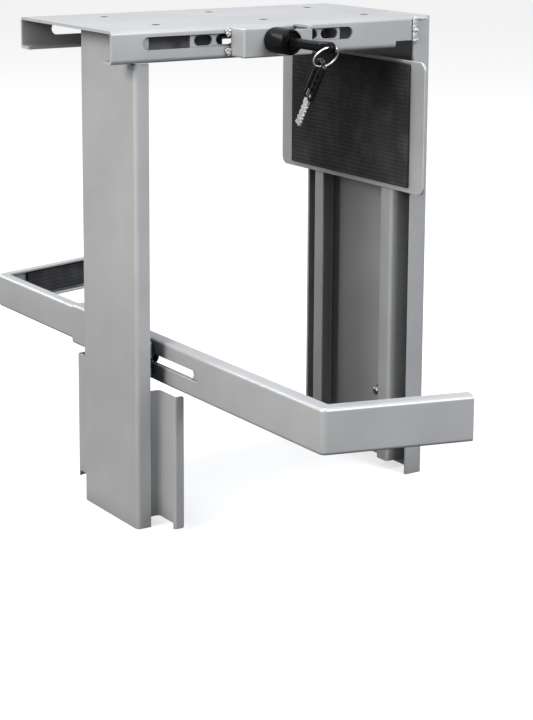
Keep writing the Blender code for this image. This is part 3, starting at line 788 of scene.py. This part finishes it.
def prism(centre: Vector, axis: Vector, radius: float, depth: float,
          sides: int) -> bpy.types.Object:
    """Makes a cutting prism.

    Args:
        centre: Its centre, in metres.
        axis: Its direction.
        radius: Its radius to the corners, in millimetres.
        depth: Its length, in millimetres.
        sides: How many sides it has.

    Returns:
        The new object.
    """
    shape = bmesh.new()
    bmesh.ops.create_cone(shape, cap_ends=True, segments=sides, radius1=radius * MM,
                          radius2=radius * MM, depth=depth * MM)
    turn = axis.to_track_quat("Z", "Y").to_matrix().to_4x4()
    shape.transform(Matrix.Translation(centre) @ turn)
    return put_in_scene("tool", mesh_from(shape, "tool"))


def loft(name: str, rings: Sequence[Sequence[Vector]]) -> bpy.types.Mesh:
    """Joins rings of points into a skin with capped ends.

    Args:
        name: The mesh's name.
        rings: Rings with the same number of points, in metres.

    Returns:
        The new mesh.
    """
    shape = bmesh.new()
    grid = [[shape.verts.new(point) for point in ring] for ring in rings]
    for first, second in zip(grid, grid[1:]):
        count = len(first)
        for i in range(count):
            j = (i + 1) % count
            shape.faces.new((first[i], first[j], second[j], second[i]))
    shape.faces.new(list(reversed(grid[0])))
    shape.faces.new(grid[-1])
    bmesh.ops.recalc_face_normals(shape, faces=shape.faces)
    mesh = mesh_from(shape, name)
    mesh.shade_smooth()
    return mesh


def wire(name: str, path: Sequence[Vector], radius: float, sides: int) -> bpy.types.Mesh:
    """Sweeps a round section along a path.

    Args:
        name: The mesh's name.
        path: The path's points, in metres.
        radius: The section's radius, in metres.
        sides: Points round the section.

    Returns:
        The new mesh.
    """
    rings = []
    side = Vector((0.13, 0.31, 0.94)).normalized()
    for i, point in enumerate(path):
        along = (path[min(i + 1, len(path) - 1)] - path[max(i - 1, 0)]).normalized()
        side = (side - along * side.dot(along)).normalized()
        up = along.cross(side)
        rings.append([point + (side * math.cos(turn) + up * math.sin(turn)) * radius
                      for turn in (2 * math.pi * k / sides for k in range(sides))])
    return loft(name, rings)


def weld_metal(name: str, drops: Sequence[tuple[Vector, float]], flat: float,
               ceiling: float) -> bpy.types.Mesh:
    """Melts uneven drops of weld metal together.

    Args:
        name: The mesh's name.
        drops: Each drop's centre, in metres, and its radius, in millimetres.
        flat: How much the drops are flattened across the joint.
        ceiling: The height that they stay below, in metres.

    Returns:
        The melted mesh.
    """
    shape = bmesh.new()
    for number, (centre, size) in enumerate(drops):
        made = bmesh.ops.create_icosphere(shape, subdivisions=3, radius=size * MM)
        seed = centre * 900.0 + Vector((number * 7.0, 0.0, 0.0))
        for vert in made["verts"]:
            out = vert.co.normalized()
            lump = (1.0 + 0.25 * noise.noise(out * 1.5 + seed)
                    + 0.10 * noise.noise(out * 4.0 + seed))
            vert.co = centre + Vector((vert.co.x, vert.co.y * flat, vert.co.z)) * lump
            vert.co.z = min(vert.co.z, ceiling)
    holder = put_in_scene("working", mesh_from(shape, name))
    melt = holder.modifiers.new("melt", "REMESH")
    melt.mode = "VOXEL"
    melt.voxel_size = 0.28 * MM
    melt.use_smooth_shade = True
    ease = holder.modifiers.new("ease", "SMOOTH")
    ease.factor = 0.5
    ease.iterations = 3
    return evaluated(holder)


def box_and_middle(node: str) -> tuple[Vector, Vector, Vector]:
    """Gives the low and high corners of a CAD node's box, and its centre."""
    low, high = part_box(node)
    return low, high, (low + high) / 2


def flattened(value: float, power: float) -> float:
    """Pushes a sine or cosine outwards, which squares up a round section."""
    return math.copysign(abs(value) ** power, value)


def grown(least: float, share: float) -> float:
    """Gives a factor that grows from its least value to 1 with a share."""
    return least + (1.0 - least) * share


# ----- the assemblies

# Radii of the rounded edges, in millimetres.
PAD_EDGE, NUT_EDGE, SCREW_EDGE, STUD_EDGE = 0.5, 0.3, 0.25, 0.2


@dataclass
class DeskChannel:
    """The top channel with the fixed arm, the clamp plate in it and the welds."""

    shop: Workshop
    sheet: float = 2.0
    sheet_edge: float = 0.45
    bead_radius: float = 1.9
    drop_step: float = 0.8
    spread_drops: int = 6
    bead_over: float = 2.4
    bead_under: float = 1.2
    bead_sway: float = 1.5
    hole_margin: tuple[float, float] = (6.0, 5.0)
    sheets: tuple[str, ...] = ("right_arm", "right_clamp_carrier", "right_clamp_plate")
    nuts: tuple[str, ...] = ("right_nut_upper", "right_nut_lower")
    studs: tuple[str, ...] = ("right_stud_upper", "right_stud_lower")

    def build(self) -> None:
        """Makes every piece of the fixed frame."""
        tones = self.shop.palette
        channel = self.shop.dressed("top_channel", Body.FRAME, tones.powder, self.sheet_edge)
        self.paint_shade_in_screw_holes(channel)
        self.shop.dress_all(self.sheets, Body.FRAME, tones.powder, self.sheet_edge)
        self.shop.dressed("right_clamp_pad", Body.FRAME, tones.rubber, PAD_EDGE)
        self.shop.dress_all(self.nuts, Body.FRAME, tones.steel, NUT_EDGE)
        self.shop.dress_all(self.studs, Body.FRAME, tones.thread, STUD_EDGE)
        for node in ("weld_bead_front", "weld_bead_rear"):
            self.weld(node)

    def paint_shade_in_screw_holes(self, piece: bpy.types.Object) -> None:
        """Gives the walls of the desk screw holes a dark finish as painted shade.

        Args:
            piece: The dressed channel.
        """
        low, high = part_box("top_channel")
        reach_x = -low.x - self.hole_margin[0] * MM
        reach_y = high.y - self.hole_margin[1] * MM
        floor = high.z - self.sheet * 1.2 * MM
        # painted shade: the hole walls take the dark black-oxide steel finish
        piece.data.materials.append(self.shop.palette.material(self.shop.palette.black_steel))
        for face in piece.data.polygons:
            centre = face.center
            inside = abs(centre.x) < reach_x and abs(centre.y) < reach_y and centre.z > floor
            if inside and abs(face.normal.z) < 0.5:
                face.material_index = EXTRA_FINISH

    def weld(self, node: str) -> None:
        """Lays a rough bead where a CAD node marks the weld, spread out at its top end.

        Args:
            node: The CAD node of the bead.
        """
        low, high, centre = box_and_middle(node)
        top, foot = high.z + self.bead_over * MM, low.z - self.bead_under * MM
        count = int((top - foot) / (self.drop_step * MM))
        drops = []
        for i in range(count + 1):
            height = top + (foot - top) * i / count
            seed = Vector((i * 1.37, centre.y * 77.0, 3.1))
            sway = noise.noise(seed) * self.bead_sway * MM
            size = self.bead_radius * (1.0 + 0.35 * noise.noise(seed * 1.9))
            size *= 1.0 + 0.35 * max(0.0, 1.0 - i / 4)  # thicker where the bead starts
            drops.append((Vector((centre.x + sway, centre.y, height)), size))
        for i in range(self.spread_drops):
            along = centre.x + (1.6 + 1.7 * i) * MM
            drops.append((Vector((along, centre.y, high.z + 2.6 * MM)), 1.0 - 0.09 * i))
        mesh = weld_metal(node + "_bead", drops, flat=0.55, ceiling=-0.2 * MM)
        self.shop.place("rippled_" + node, mesh, Body.FRAME, self.shop.palette.weld, [node])


@dataclass
class SlidingArm:
    """The left arm with its rail, tongue, glides, clamp plate and rubber strips."""

    shop: Workshop
    sheet_edge: float = 0.45
    sheets: tuple[str, ...] = ("left_arm", "slide_rail", "arm_tongue", "left_clamp_plate")
    pads: tuple[str, ...] = ("clamp_pad_front", "clamp_pad_rear")
    glides: tuple[str, ...] = ("glide_front", "glide_rear")
    nuts: tuple[str, ...] = ("left_nut_upper", "left_nut_lower")
    studs: tuple[str, ...] = ("left_stud_upper", "left_stud_lower")
    socket: float = 2.3
    socket_depth: float = 3.0

    def build(self) -> None:
        """Makes every piece that slides with the arm."""
        tones = self.shop.palette
        for nodes, finish, edge in ((self.sheets, tones.powder, self.sheet_edge),
                                    (self.pads, tones.rubber, PAD_EDGE),
                                    (self.glides, tones.glide, NUT_EDGE),
                                    (self.nuts, tones.steel, NUT_EDGE),
                                    (self.studs, tones.thread, STUD_EDGE)):
            self.shop.dress_all(nodes, Body.ARM, finish, edge)
        for node in ("rail_screw_left", "rail_screw_right"):
            low, _, centre = box_and_middle(node)
            tool = prism(Vector((centre.x, centre.y, low.z)), Vector((0, 0, 1)), self.socket,
                         self.socket_depth, 6)
            self.shop.dressed(node, Body.ARM, tones.steel, SCREW_EDGE, [tool])


@dataclass
class BandCarrier:
    """The bracket that carries the bands, with its bolts and nuts."""

    shop: Workshop
    socket: float = 2.7
    socket_depth: float = 3.2
    nuts: tuple[str, ...] = ("band_nut_front", "band_nut_rear", "height_nut_front",
                             "height_nut_rear")

    def build(self) -> None:
        """Makes every piece that moves up and down with the bands."""
        tones = self.shop.palette
        self.shop.dressed("band_bracket", Body.CARRIER, tones.powder, 0.35)
        for kind, end in (("band_screw", 1), ("height_bolt", 0)):
            for place in ("front", "rear"):
                node = f"{kind}_{place}"
                *ends, centre = box_and_middle(node)
                tool = prism(Vector((ends[end].x, centre.y, centre.z)), ACROSS, self.socket,
                             self.socket_depth, 6)
                self.shop.dressed(node, Body.CARRIER, tones.black_steel, SCREW_EDGE, [tool])
        self.shop.dress_all(self.nuts, Body.CARRIER, tones.black_steel, NUT_EDGE)


@dataclass
class HookBand:
    """One of the two bands that hook round the case, with the pad on its hook."""

    shop: Workshop
    node: str
    pad: str
    body: Body
    edge: float = 0.4

    def build(self) -> None:
        """Makes the band and its pad."""
        tones = self.shop.palette
        self.shop.dressed(self.node, self.body, tones.powder, self.edge)
        self.shop.dressed(self.pad, self.body, tones.rubber, PAD_EDGE)


@dataclass
class PushLock:
    """The housing, sleeve, plunger, bolt, spring and core of the lock."""

    shop: Workshop
    sheet_edge: float = 0.45
    spring_wire: float = 0.4
    spring_turns: int = 5
    spring_steps: int = 28
    spring_keep: float = 0.37
    drops: tuple[Point, ...] = ((0.3, 0.6, 1.7), (-1.3, 1.7, 1.0), (0.2, -1.4, 1.6),
                                (-1.8, -0.9, 1.1), (-2.6, 0.7, 0.8), (-0.9, -2.7, 0.8))

    def build(self) -> None:
        """Makes the lock and the weld spots of its housing."""
        tones = self.shop.palette
        self.shop.dressed("lock_housing", Body.FRAME, tones.powder, self.sheet_edge)
        self.shop.dressed("lock_sleeve", Body.FRAME, tones.plastic, NUT_EDGE)
        self.coil_spring(tones.steel)
        self.shop.dressed("lock_plunger", Body.PLUNGER, tones.plastic, SCREW_EDGE)
        self.shop.dressed("lock_bolt", Body.PLUNGER, tones.steel, STUD_EDGE)
        self.shop.dressed("lock_core", Body.CORE, tones.black_steel, STUD_EDGE)
        for side in ("left", "right"):
            for level in ("upper", "lower"):
                self.weld_spot(f"housing_weld_{side}_{level}")

    def coil_spring(self, finish: PlatedSteel) -> None:
        """Makes the lock's spring as a fixed coil, which does not shorten as the plunger is pushed
        in.

        Args:
            finish: The spring's finish.
        """
        low, high, centre = box_and_middle("lock_spring")
        radius = (high.x - low.x) / 2 - self.spring_wire * MM
        start, end = low.y + self.spring_wire * MM, high.y - self.spring_wire * MM
        count = self.spring_turns * self.spring_steps
        path = []
        for i in range(count + 1):
            turn = 2 * math.pi * i / self.spring_steps
            along = start + (end - start) * i / count
            path.append(Vector((centre.x + math.cos(turn) * radius, along,
                                centre.z + math.sin(turn) * radius)))
        mesh = wire("spring_coil", path, self.spring_wire * MM, sides=12)
        spring = self.shop.place("spring_coil", mesh, Body.FRAME, finish, ["lock_spring"])
        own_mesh(spring)

    def weld_spot(self, node: str) -> None:
        """Makes one lumpy weld spot from overlapping drops of weld metal.

        Args:
            node: The CAD node of the spot.
        """
        centre = box_and_middle(node)[2]
        drops = [(centre + Vector((shift, 0.0, rise)) * MM, size)
                 for shift, rise, size in self.drops]
        mesh = weld_metal(node + "_lump", drops, flat=0.8, ceiling=-0.6 * MM)
        self.shop.place("lump_" + node, mesh, Body.FRAME, self.shop.palette.weld, [node])


@dataclass(frozen=True)
class Block:
    """A block in the spare key's axes: its place and its sizes, in millimetres."""

    place: Point
    size: Point


@dataclass(frozen=True)
class KeyAxes:
    """The spare key's axes: across it, along it and to its side, from its head's centre."""

    centre: Vector
    along: Vector
    side: Vector

    def at(self, local: Vector) -> Vector:
        """Gives a point in the holder's frame from its place in these axes, in metres."""
        return self.centre + Matrix((ACROSS, self.along, self.side)).transposed() @ local

    def bar(self, block: Block) -> bpy.types.Object:
        """Makes a cutting bar.

        Args:
            block: The bar's place and sizes.

        Returns:
            The new object.
        """
        shape = bmesh.new()
        bmesh.ops.create_cube(shape, size=1.0)
        for vert in shape.verts:
            vert.co = self.at(Vector([(vert.co[i] * block.size[i] + block.place[i]) * MM
                                      for i in range(3)]))
        bmesh.ops.recalc_face_normals(shape, faces=shape.faces)
        return put_in_scene("bar", mesh_from(shape, "bar"))


@dataclass
class KeyBunch:
    """The key in the lock, the ring through its eye and the spare key on the ring."""

    shop: Workshop
    sections: int = 56
    corner_points: int = 28
    eye_radius: float = 1.9
    eye_reach: float = 4.4
    grip_ridges: int = 6
    ridge_depth: float = 0.28
    grip_span: tuple[float, float] = (0.12, 0.72)
    neck: float = 0.70
    flare: float = 0.16
    least_tip: float = 0.12
    root_length: float = 2.5
    coil_wire: float = 0.42
    coil_radius: float = 8.7
    coil_steps: int = 64
    spare_eye_reach: float = 12.2
    ribbed: Block = Block((0.5, 0.0, 2.4), (3.4, 31.0, 6.8))
    groove: Point = (1.6, 20.0, 0.9)
    groove_pitch: float = 1.7
    windowed: Block = Block((-0.4, 0.4, -2.6), (2.6, 29.5, 6.0))
    window: Point = (8.0, 2.9, 3.2)
    window_pitch: float = 5.2
    windows: int = 4
    mill: Point = (0.7, 40.0, 0.9)
    tooth_pitch: float = 3.1
    teeth: tuple[tuple[float, float], ...] = ((0.2, 1.3), (0.7, 1.5), (0.1, 1.2), (0.8, 1.6),
                                              (0.4, 1.3))

    def build(self) -> None:
        """Makes both keys and the ring."""
        self.key_in_lock()
        self.split_ring()
        self.spare_key()

    def key_in_lock(self) -> None:
        """Makes the moulded head and the blade of the key in the lock."""
        tones = self.shop.palette
        low, high, centre = box_and_middle("key_head")
        half_x, half_z = (high.x - low.x) / 2, (high.z - low.z) / 2
        rings = []
        for i in range(self.sections + 1):
            share = i / self.sections
            y = high.y + (low.y - high.y) * share
            round_end = 1.0 - (1.0 - min(1.0, (y - low.y) / half_z)) ** 2
            tip = max(math.sqrt(max(0.0, round_end)), self.least_tip)
            root = min(1.0, (high.y - y) / (self.root_length * MM))
            waist = self.neck + self.flare * min(1.0, max(0.0, share - 0.45) / 0.4) ** 1.5
            tall = half_z * tip * waist * grown(0.72, root)
            thick = half_x * grown(0.55, tip) * grown(0.85, root)
            grip = self.grip_span[0] < share < self.grip_span[1]
            rings.append([self.ridged(centre, y, thick, tall, k, grip)
                          for k in range(self.corner_points)])
        eye = Vector((centre.x, low.y + self.eye_reach * MM, centre.z))
        mesh = cut(loft("key_head_skin", rings), [prism(eye, ACROSS, self.eye_radius, 12.0, 28)])
        mesh = self.shop.rounded(mesh, SCREW_EDGE, tones.plastic, angle=50.0)
        self.shop.place("moulded_key_head", mesh, Body.CORE, tones.plastic, ["key_head"])
        self.shop.dressed("key_blade", Body.CORE, tones.key_steel, STUD_EDGE)

    def ridged(self, centre: Vector, y: float, thick: float, tall: float, k: int,
               grip: bool) -> Vector:
        """Gives one point of the key head's section.

        Args:
            centre: The head's centre.
            y: Where the section is.
            thick: Half the section's width.
            tall: Half the section's height.
            k: The point's number round the section.
            grip: True where the head has its grip ridges.

        Returns:
            The point.
        """
        turn = 2 * math.pi * k / self.corner_points
        x = flattened(math.cos(turn), 0.45) * thick
        z = flattened(math.sin(turn), 0.62) * tall
        if grip:
            wave = 0.5 + 0.5 * math.cos(z / max(tall, MM * 0.1) * math.pi * self.grip_ridges / 2)
            x -= math.copysign(self.ridge_depth * MM * wave, x) * (1.0 - math.sin(turn) ** 4)
        return Vector((centre.x + x, y, centre.z + z))

    def split_ring(self) -> None:
        """Makes the ring as two close turns of wire."""
        low, high, centre = box_and_middle("key_ring")
        span = Vector((0.0, high.y - low.y, low.z - high.z)).normalized()
        normal = ACROSS.cross(span)
        path = []
        for i in range(2 * self.coil_steps + 1):
            turn = 2 * math.pi * i / self.coil_steps
            lift = (i / self.coil_steps - 1.0) * self.coil_wire * MM
            path.append(centre + (ACROSS * math.sin(turn) + span * math.cos(turn))
                        * self.coil_radius * MM + normal * lift)
        mesh = wire("split_ring_wire", path, self.coil_wire * MM, sides=10)
        self.shop.place("split_ring", mesh, Body.RING, self.shop.palette.nickel, ["key_ring"])

    def spare_key(self) -> None:
        """Makes the spare key: a ribbed fob, a second fob with windows behind it, and the blade."""
        centre = box_and_middle("spare_key_head")[2]
        tip = box_and_middle("spare_key_blade")[2]
        along = Vector((0.0, tip.y - centre.y, tip.z - centre.z)).normalized()
        axes = KeyAxes(centre, along, Vector((0.0, -along.z, along.y)))
        eye = centre - along * self.spare_eye_reach * MM
        grooves = [axes.bar(Block((face, 3.5, 2.1 + step * self.groove_pitch), self.groove))
                   for face in (2.6, -1.6) for step in (-1, 0, 1)]
        windows = [axes.bar(Block((-0.4, -4.5 + step * self.window_pitch, -2.4), self.window))
                   for step in range(self.windows)]
        plastic = self.shop.palette.fob
        for name, block, tools, hole in (
                ("ribbed_fob", self.ribbed, grooves, eye + axes.side * 0.6 * MM),
                ("windowed_fob", self.windowed, windows, eye)):
            tools.append(prism(hole, ACROSS, self.eye_radius, 14.0, 24))
            mesh = self.shop.rounded(cut(self.fob(axes, block), tools), 0.22, plastic)
            self.shop.place(name, mesh, Body.SPARE, plastic, ["spare_key_head"])
        self.milled_blade(along, axes.side)

    def fob(self, axes: KeyAxes, block: Block) -> bpy.types.Mesh:
        """Makes one moulded fob, a bar with round ends and crowned faces.

        Args:
            axes: The spare key's axes.
            block: The fob's place and sizes.

        Returns:
            The fob's mesh.
        """
        thick, length, width = (value / 2 for value in block.size)
        steps = self.sections // 2
        rings = []
        for i in range(steps + 1):
            share = i / steps
            reach = length * -math.cos(math.pi * share)
            inset = max(0.0, (abs(reach) - (length - width)) / width)
            crown = math.sqrt(max(0.0, 1.0 - inset ** 2))
            wide, deep = width * max(0.18, crown), thick * grown(0.72, crown)
            ring = []
            for k in range(self.corner_points):
                turn = 2 * math.pi * k / self.corner_points
                x = flattened(math.cos(turn), 0.5) * deep + block.place[0]
                z = flattened(math.sin(turn), 0.55) * wide + block.place[2]
                ring.append(axes.at(Vector((x, reach + block.place[1], z)) * MM))
            rings.append(ring)
        return loft("fob", rings)

    def milled_blade(self, along: Vector, side: Vector) -> None:
        """Makes the spare key's blade, with a milled groove and cut teeth.

        Args:
            along: The direction from the eye to the blade's tip.
            side: The direction to the blade's cut edge.
        """
        axes = KeyAxes(box_and_middle("spare_key_blade")[2], along, side)
        tools = [axes.bar(Block((face, 3.0, -0.5), self.mill)) for face in (-0.9, 0.9)]
        for i, (depth, wide) in enumerate(self.teeth):
            across = -2.5 - 0.6 + depth
            place = axes.centre + (along * (-2.0 + self.tooth_pitch * i) + side * across) * MM
            tools.append(prism(place, ACROSS, wide * 0.8, 6.0, 4))
        nickel = self.shop.palette.nickel
        mesh = cut(self.shop.clean_copy("spare_key_blade"), tools)
        mesh = self.shop.rounded(mesh, 0.12, nickel)
        self.shop.place("milled_spare_blade", mesh, Body.SPARE, nickel, ["spare_key_blade"])


# ----- the studio


COOL, WARM = (0.90, 0.94, 1.0), (1.0, 0.985, 0.945)


@dataclass(frozen=True)
class SoftBox:
    """A square soft light: where it hangs, the point it faces, its watts and its tint."""

    name: str
    place: Point
    target: Point
    power: float
    tint: Colour


@dataclass
class Studio:
    """The floor, the lights and the camera."""

    floor_size: float = 24.0
    floor_gap: float = 0.0004
    sky: float = 0.62
    ground: float = 0.05
    box_size: float = 0.9
    boxes: tuple[SoftBox, ...] = (
        SoftBox("softbox_top", (-0.3, -0.2, 1.3), (0.0, 0.0, -0.05), 16.0, COOL),
        SoftBox("softbox_right", (2.1, -0.1, 0.5), (0.0, 0.0, -0.15), 18.0, COOL),
        SoftBox("softbox_rear", (-0.8, 2.1, 0.7), (0.0, 0.0, -0.15), 18.0, COOL),
        SoftBox("softbox_left", (-1.9, -0.35, 0.75), (0.0, 0.0, -0.2), 44.0, WARM),
        SoftBox("softbox_front", (0.35, -2.0, 1.0), (0.0, 0.0, -0.1), 36.0, COOL),
    )
    camera_place: Point = (-0.71849, -1.14022, 0.11177)
    heading: float = 33.393
    dip: float = 10.551
    roll: float = 0.342
    lens: float = 95.28
    shift_up: float = -0.2083

    def build(self) -> None:
        """Makes the whole studio."""
        self.floor()
        self.world()
        for box in self.boxes:
            self.light(box)
        self.camera()

    def floor(self) -> None:
        """Makes the pale floor that the arms stand on."""
        half, height = self.floor_size / 2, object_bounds()[0].z - self.floor_gap
        shape = bmesh.new()
        shape.faces.new([shape.verts.new((x * half, y * half, height))
                         for x, y in ((-1, -1), (1, -1), (1, 1), (-1, 1))])
        mesh = mesh_from(shape, "floor")
        mesh.materials.append(StudioFloor().build())
        floor = put_in_scene("floor", mesh)
        floor.visible_diffuse = False
        floor.visible_glossy = False
        floor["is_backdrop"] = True

    def world(self) -> None:
        """Sets the even light from all round, bright above the horizon and dim below it."""
        world = bpy.data.worlds.new("studio")
        world.use_nodes = True
        tree = world.node_tree
        place = tree.nodes.new("ShaderNodeTexCoord")
        axes = tree.nodes.new("ShaderNodeSeparateXYZ")
        ramp = tree.nodes.new("ShaderNodeMapRange")
        ramp.inputs["From Min"].default_value = -0.10
        ramp.inputs["From Max"].default_value = 0.02
        ramp.inputs["To Min"].default_value = self.ground
        ramp.inputs["To Max"].default_value = self.sky
        tree.links.new(place.outputs["Generated"], axes.inputs["Vector"])
        tree.links.new(axes.outputs["Z"], ramp.inputs["Value"])
        back = tree.nodes["Background"]
        back.inputs["Color"].default_value = (1.0, 1.0, 1.0, 1.0)
        tree.links.new(ramp.outputs["Result"], back.inputs["Strength"])
        bpy.context.scene.world = world
        bpy.context.scene.view_settings.view_transform = "Standard"

    def light(self, box: SoftBox) -> None:
        """Adds a square soft light.

        Args:
            box: The light's place, target, power and tint.
        """
        data = bpy.data.lights.new(box.name, "AREA")
        data.shape = "SQUARE"
        data.size = self.box_size
        data.energy = box.power
        data.color = box.tint
        lamp = put_in_scene(box.name, data)
        ahead = Vector(box.target) - Vector(box.place)
        lamp.location = box.place
        lamp.rotation_euler = ahead.to_track_quat("-Z", "Y").to_euler()

    def camera(self) -> None:
        """Makes the camera."""
        data = bpy.data.cameras.new("camera")
        data.lens = self.lens
        data.shift_y = self.shift_up
        camera = put_in_scene("camera", data)
        heading, dip = math.radians(self.heading), math.radians(self.dip)
        ahead = Vector((math.sin(heading) * math.cos(dip), math.cos(heading) * math.cos(dip),
                        -math.sin(dip)))
        turn = ahead.to_track_quat("-Z", "Y").to_matrix()
        turn = turn @ Matrix.Rotation(math.radians(self.roll), 3, "Z")
        camera.rotation_euler = turn.to_euler()
        camera.location = self.camera_place
        data.clip_start, data.clip_end = 0.01, 60.0
        bpy.context.scene.camera = camera


def main() -> None:
    """Builds the holder on its frame, then the studio."""
    logging.basicConfig(level=logging.INFO, format="%(message)s")
    for item in list(bpy.data.objects):
        bpy.data.objects.remove(item)
    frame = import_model()
    shop = Workshop(frame["nodes"], Palette())
    assemblies = (
        DeskChannel(shop),
        SlidingArm(shop),
        BandCarrier(shop),
        HookBand(shop, "front_band", "front_hook_pad", Body.FRONT_BAND),
        HookBand(shop, "rear_band", "rear_hook_pad", Body.REAR_BAND),
        PushLock(shop),
        KeyBunch(shop),
    )
    for assembly in assemblies:
        LOG.info("building %s", type(assembly).__name__)
        assembly.build()
    Studio().build()


if __name__ == "__main__":
    main()
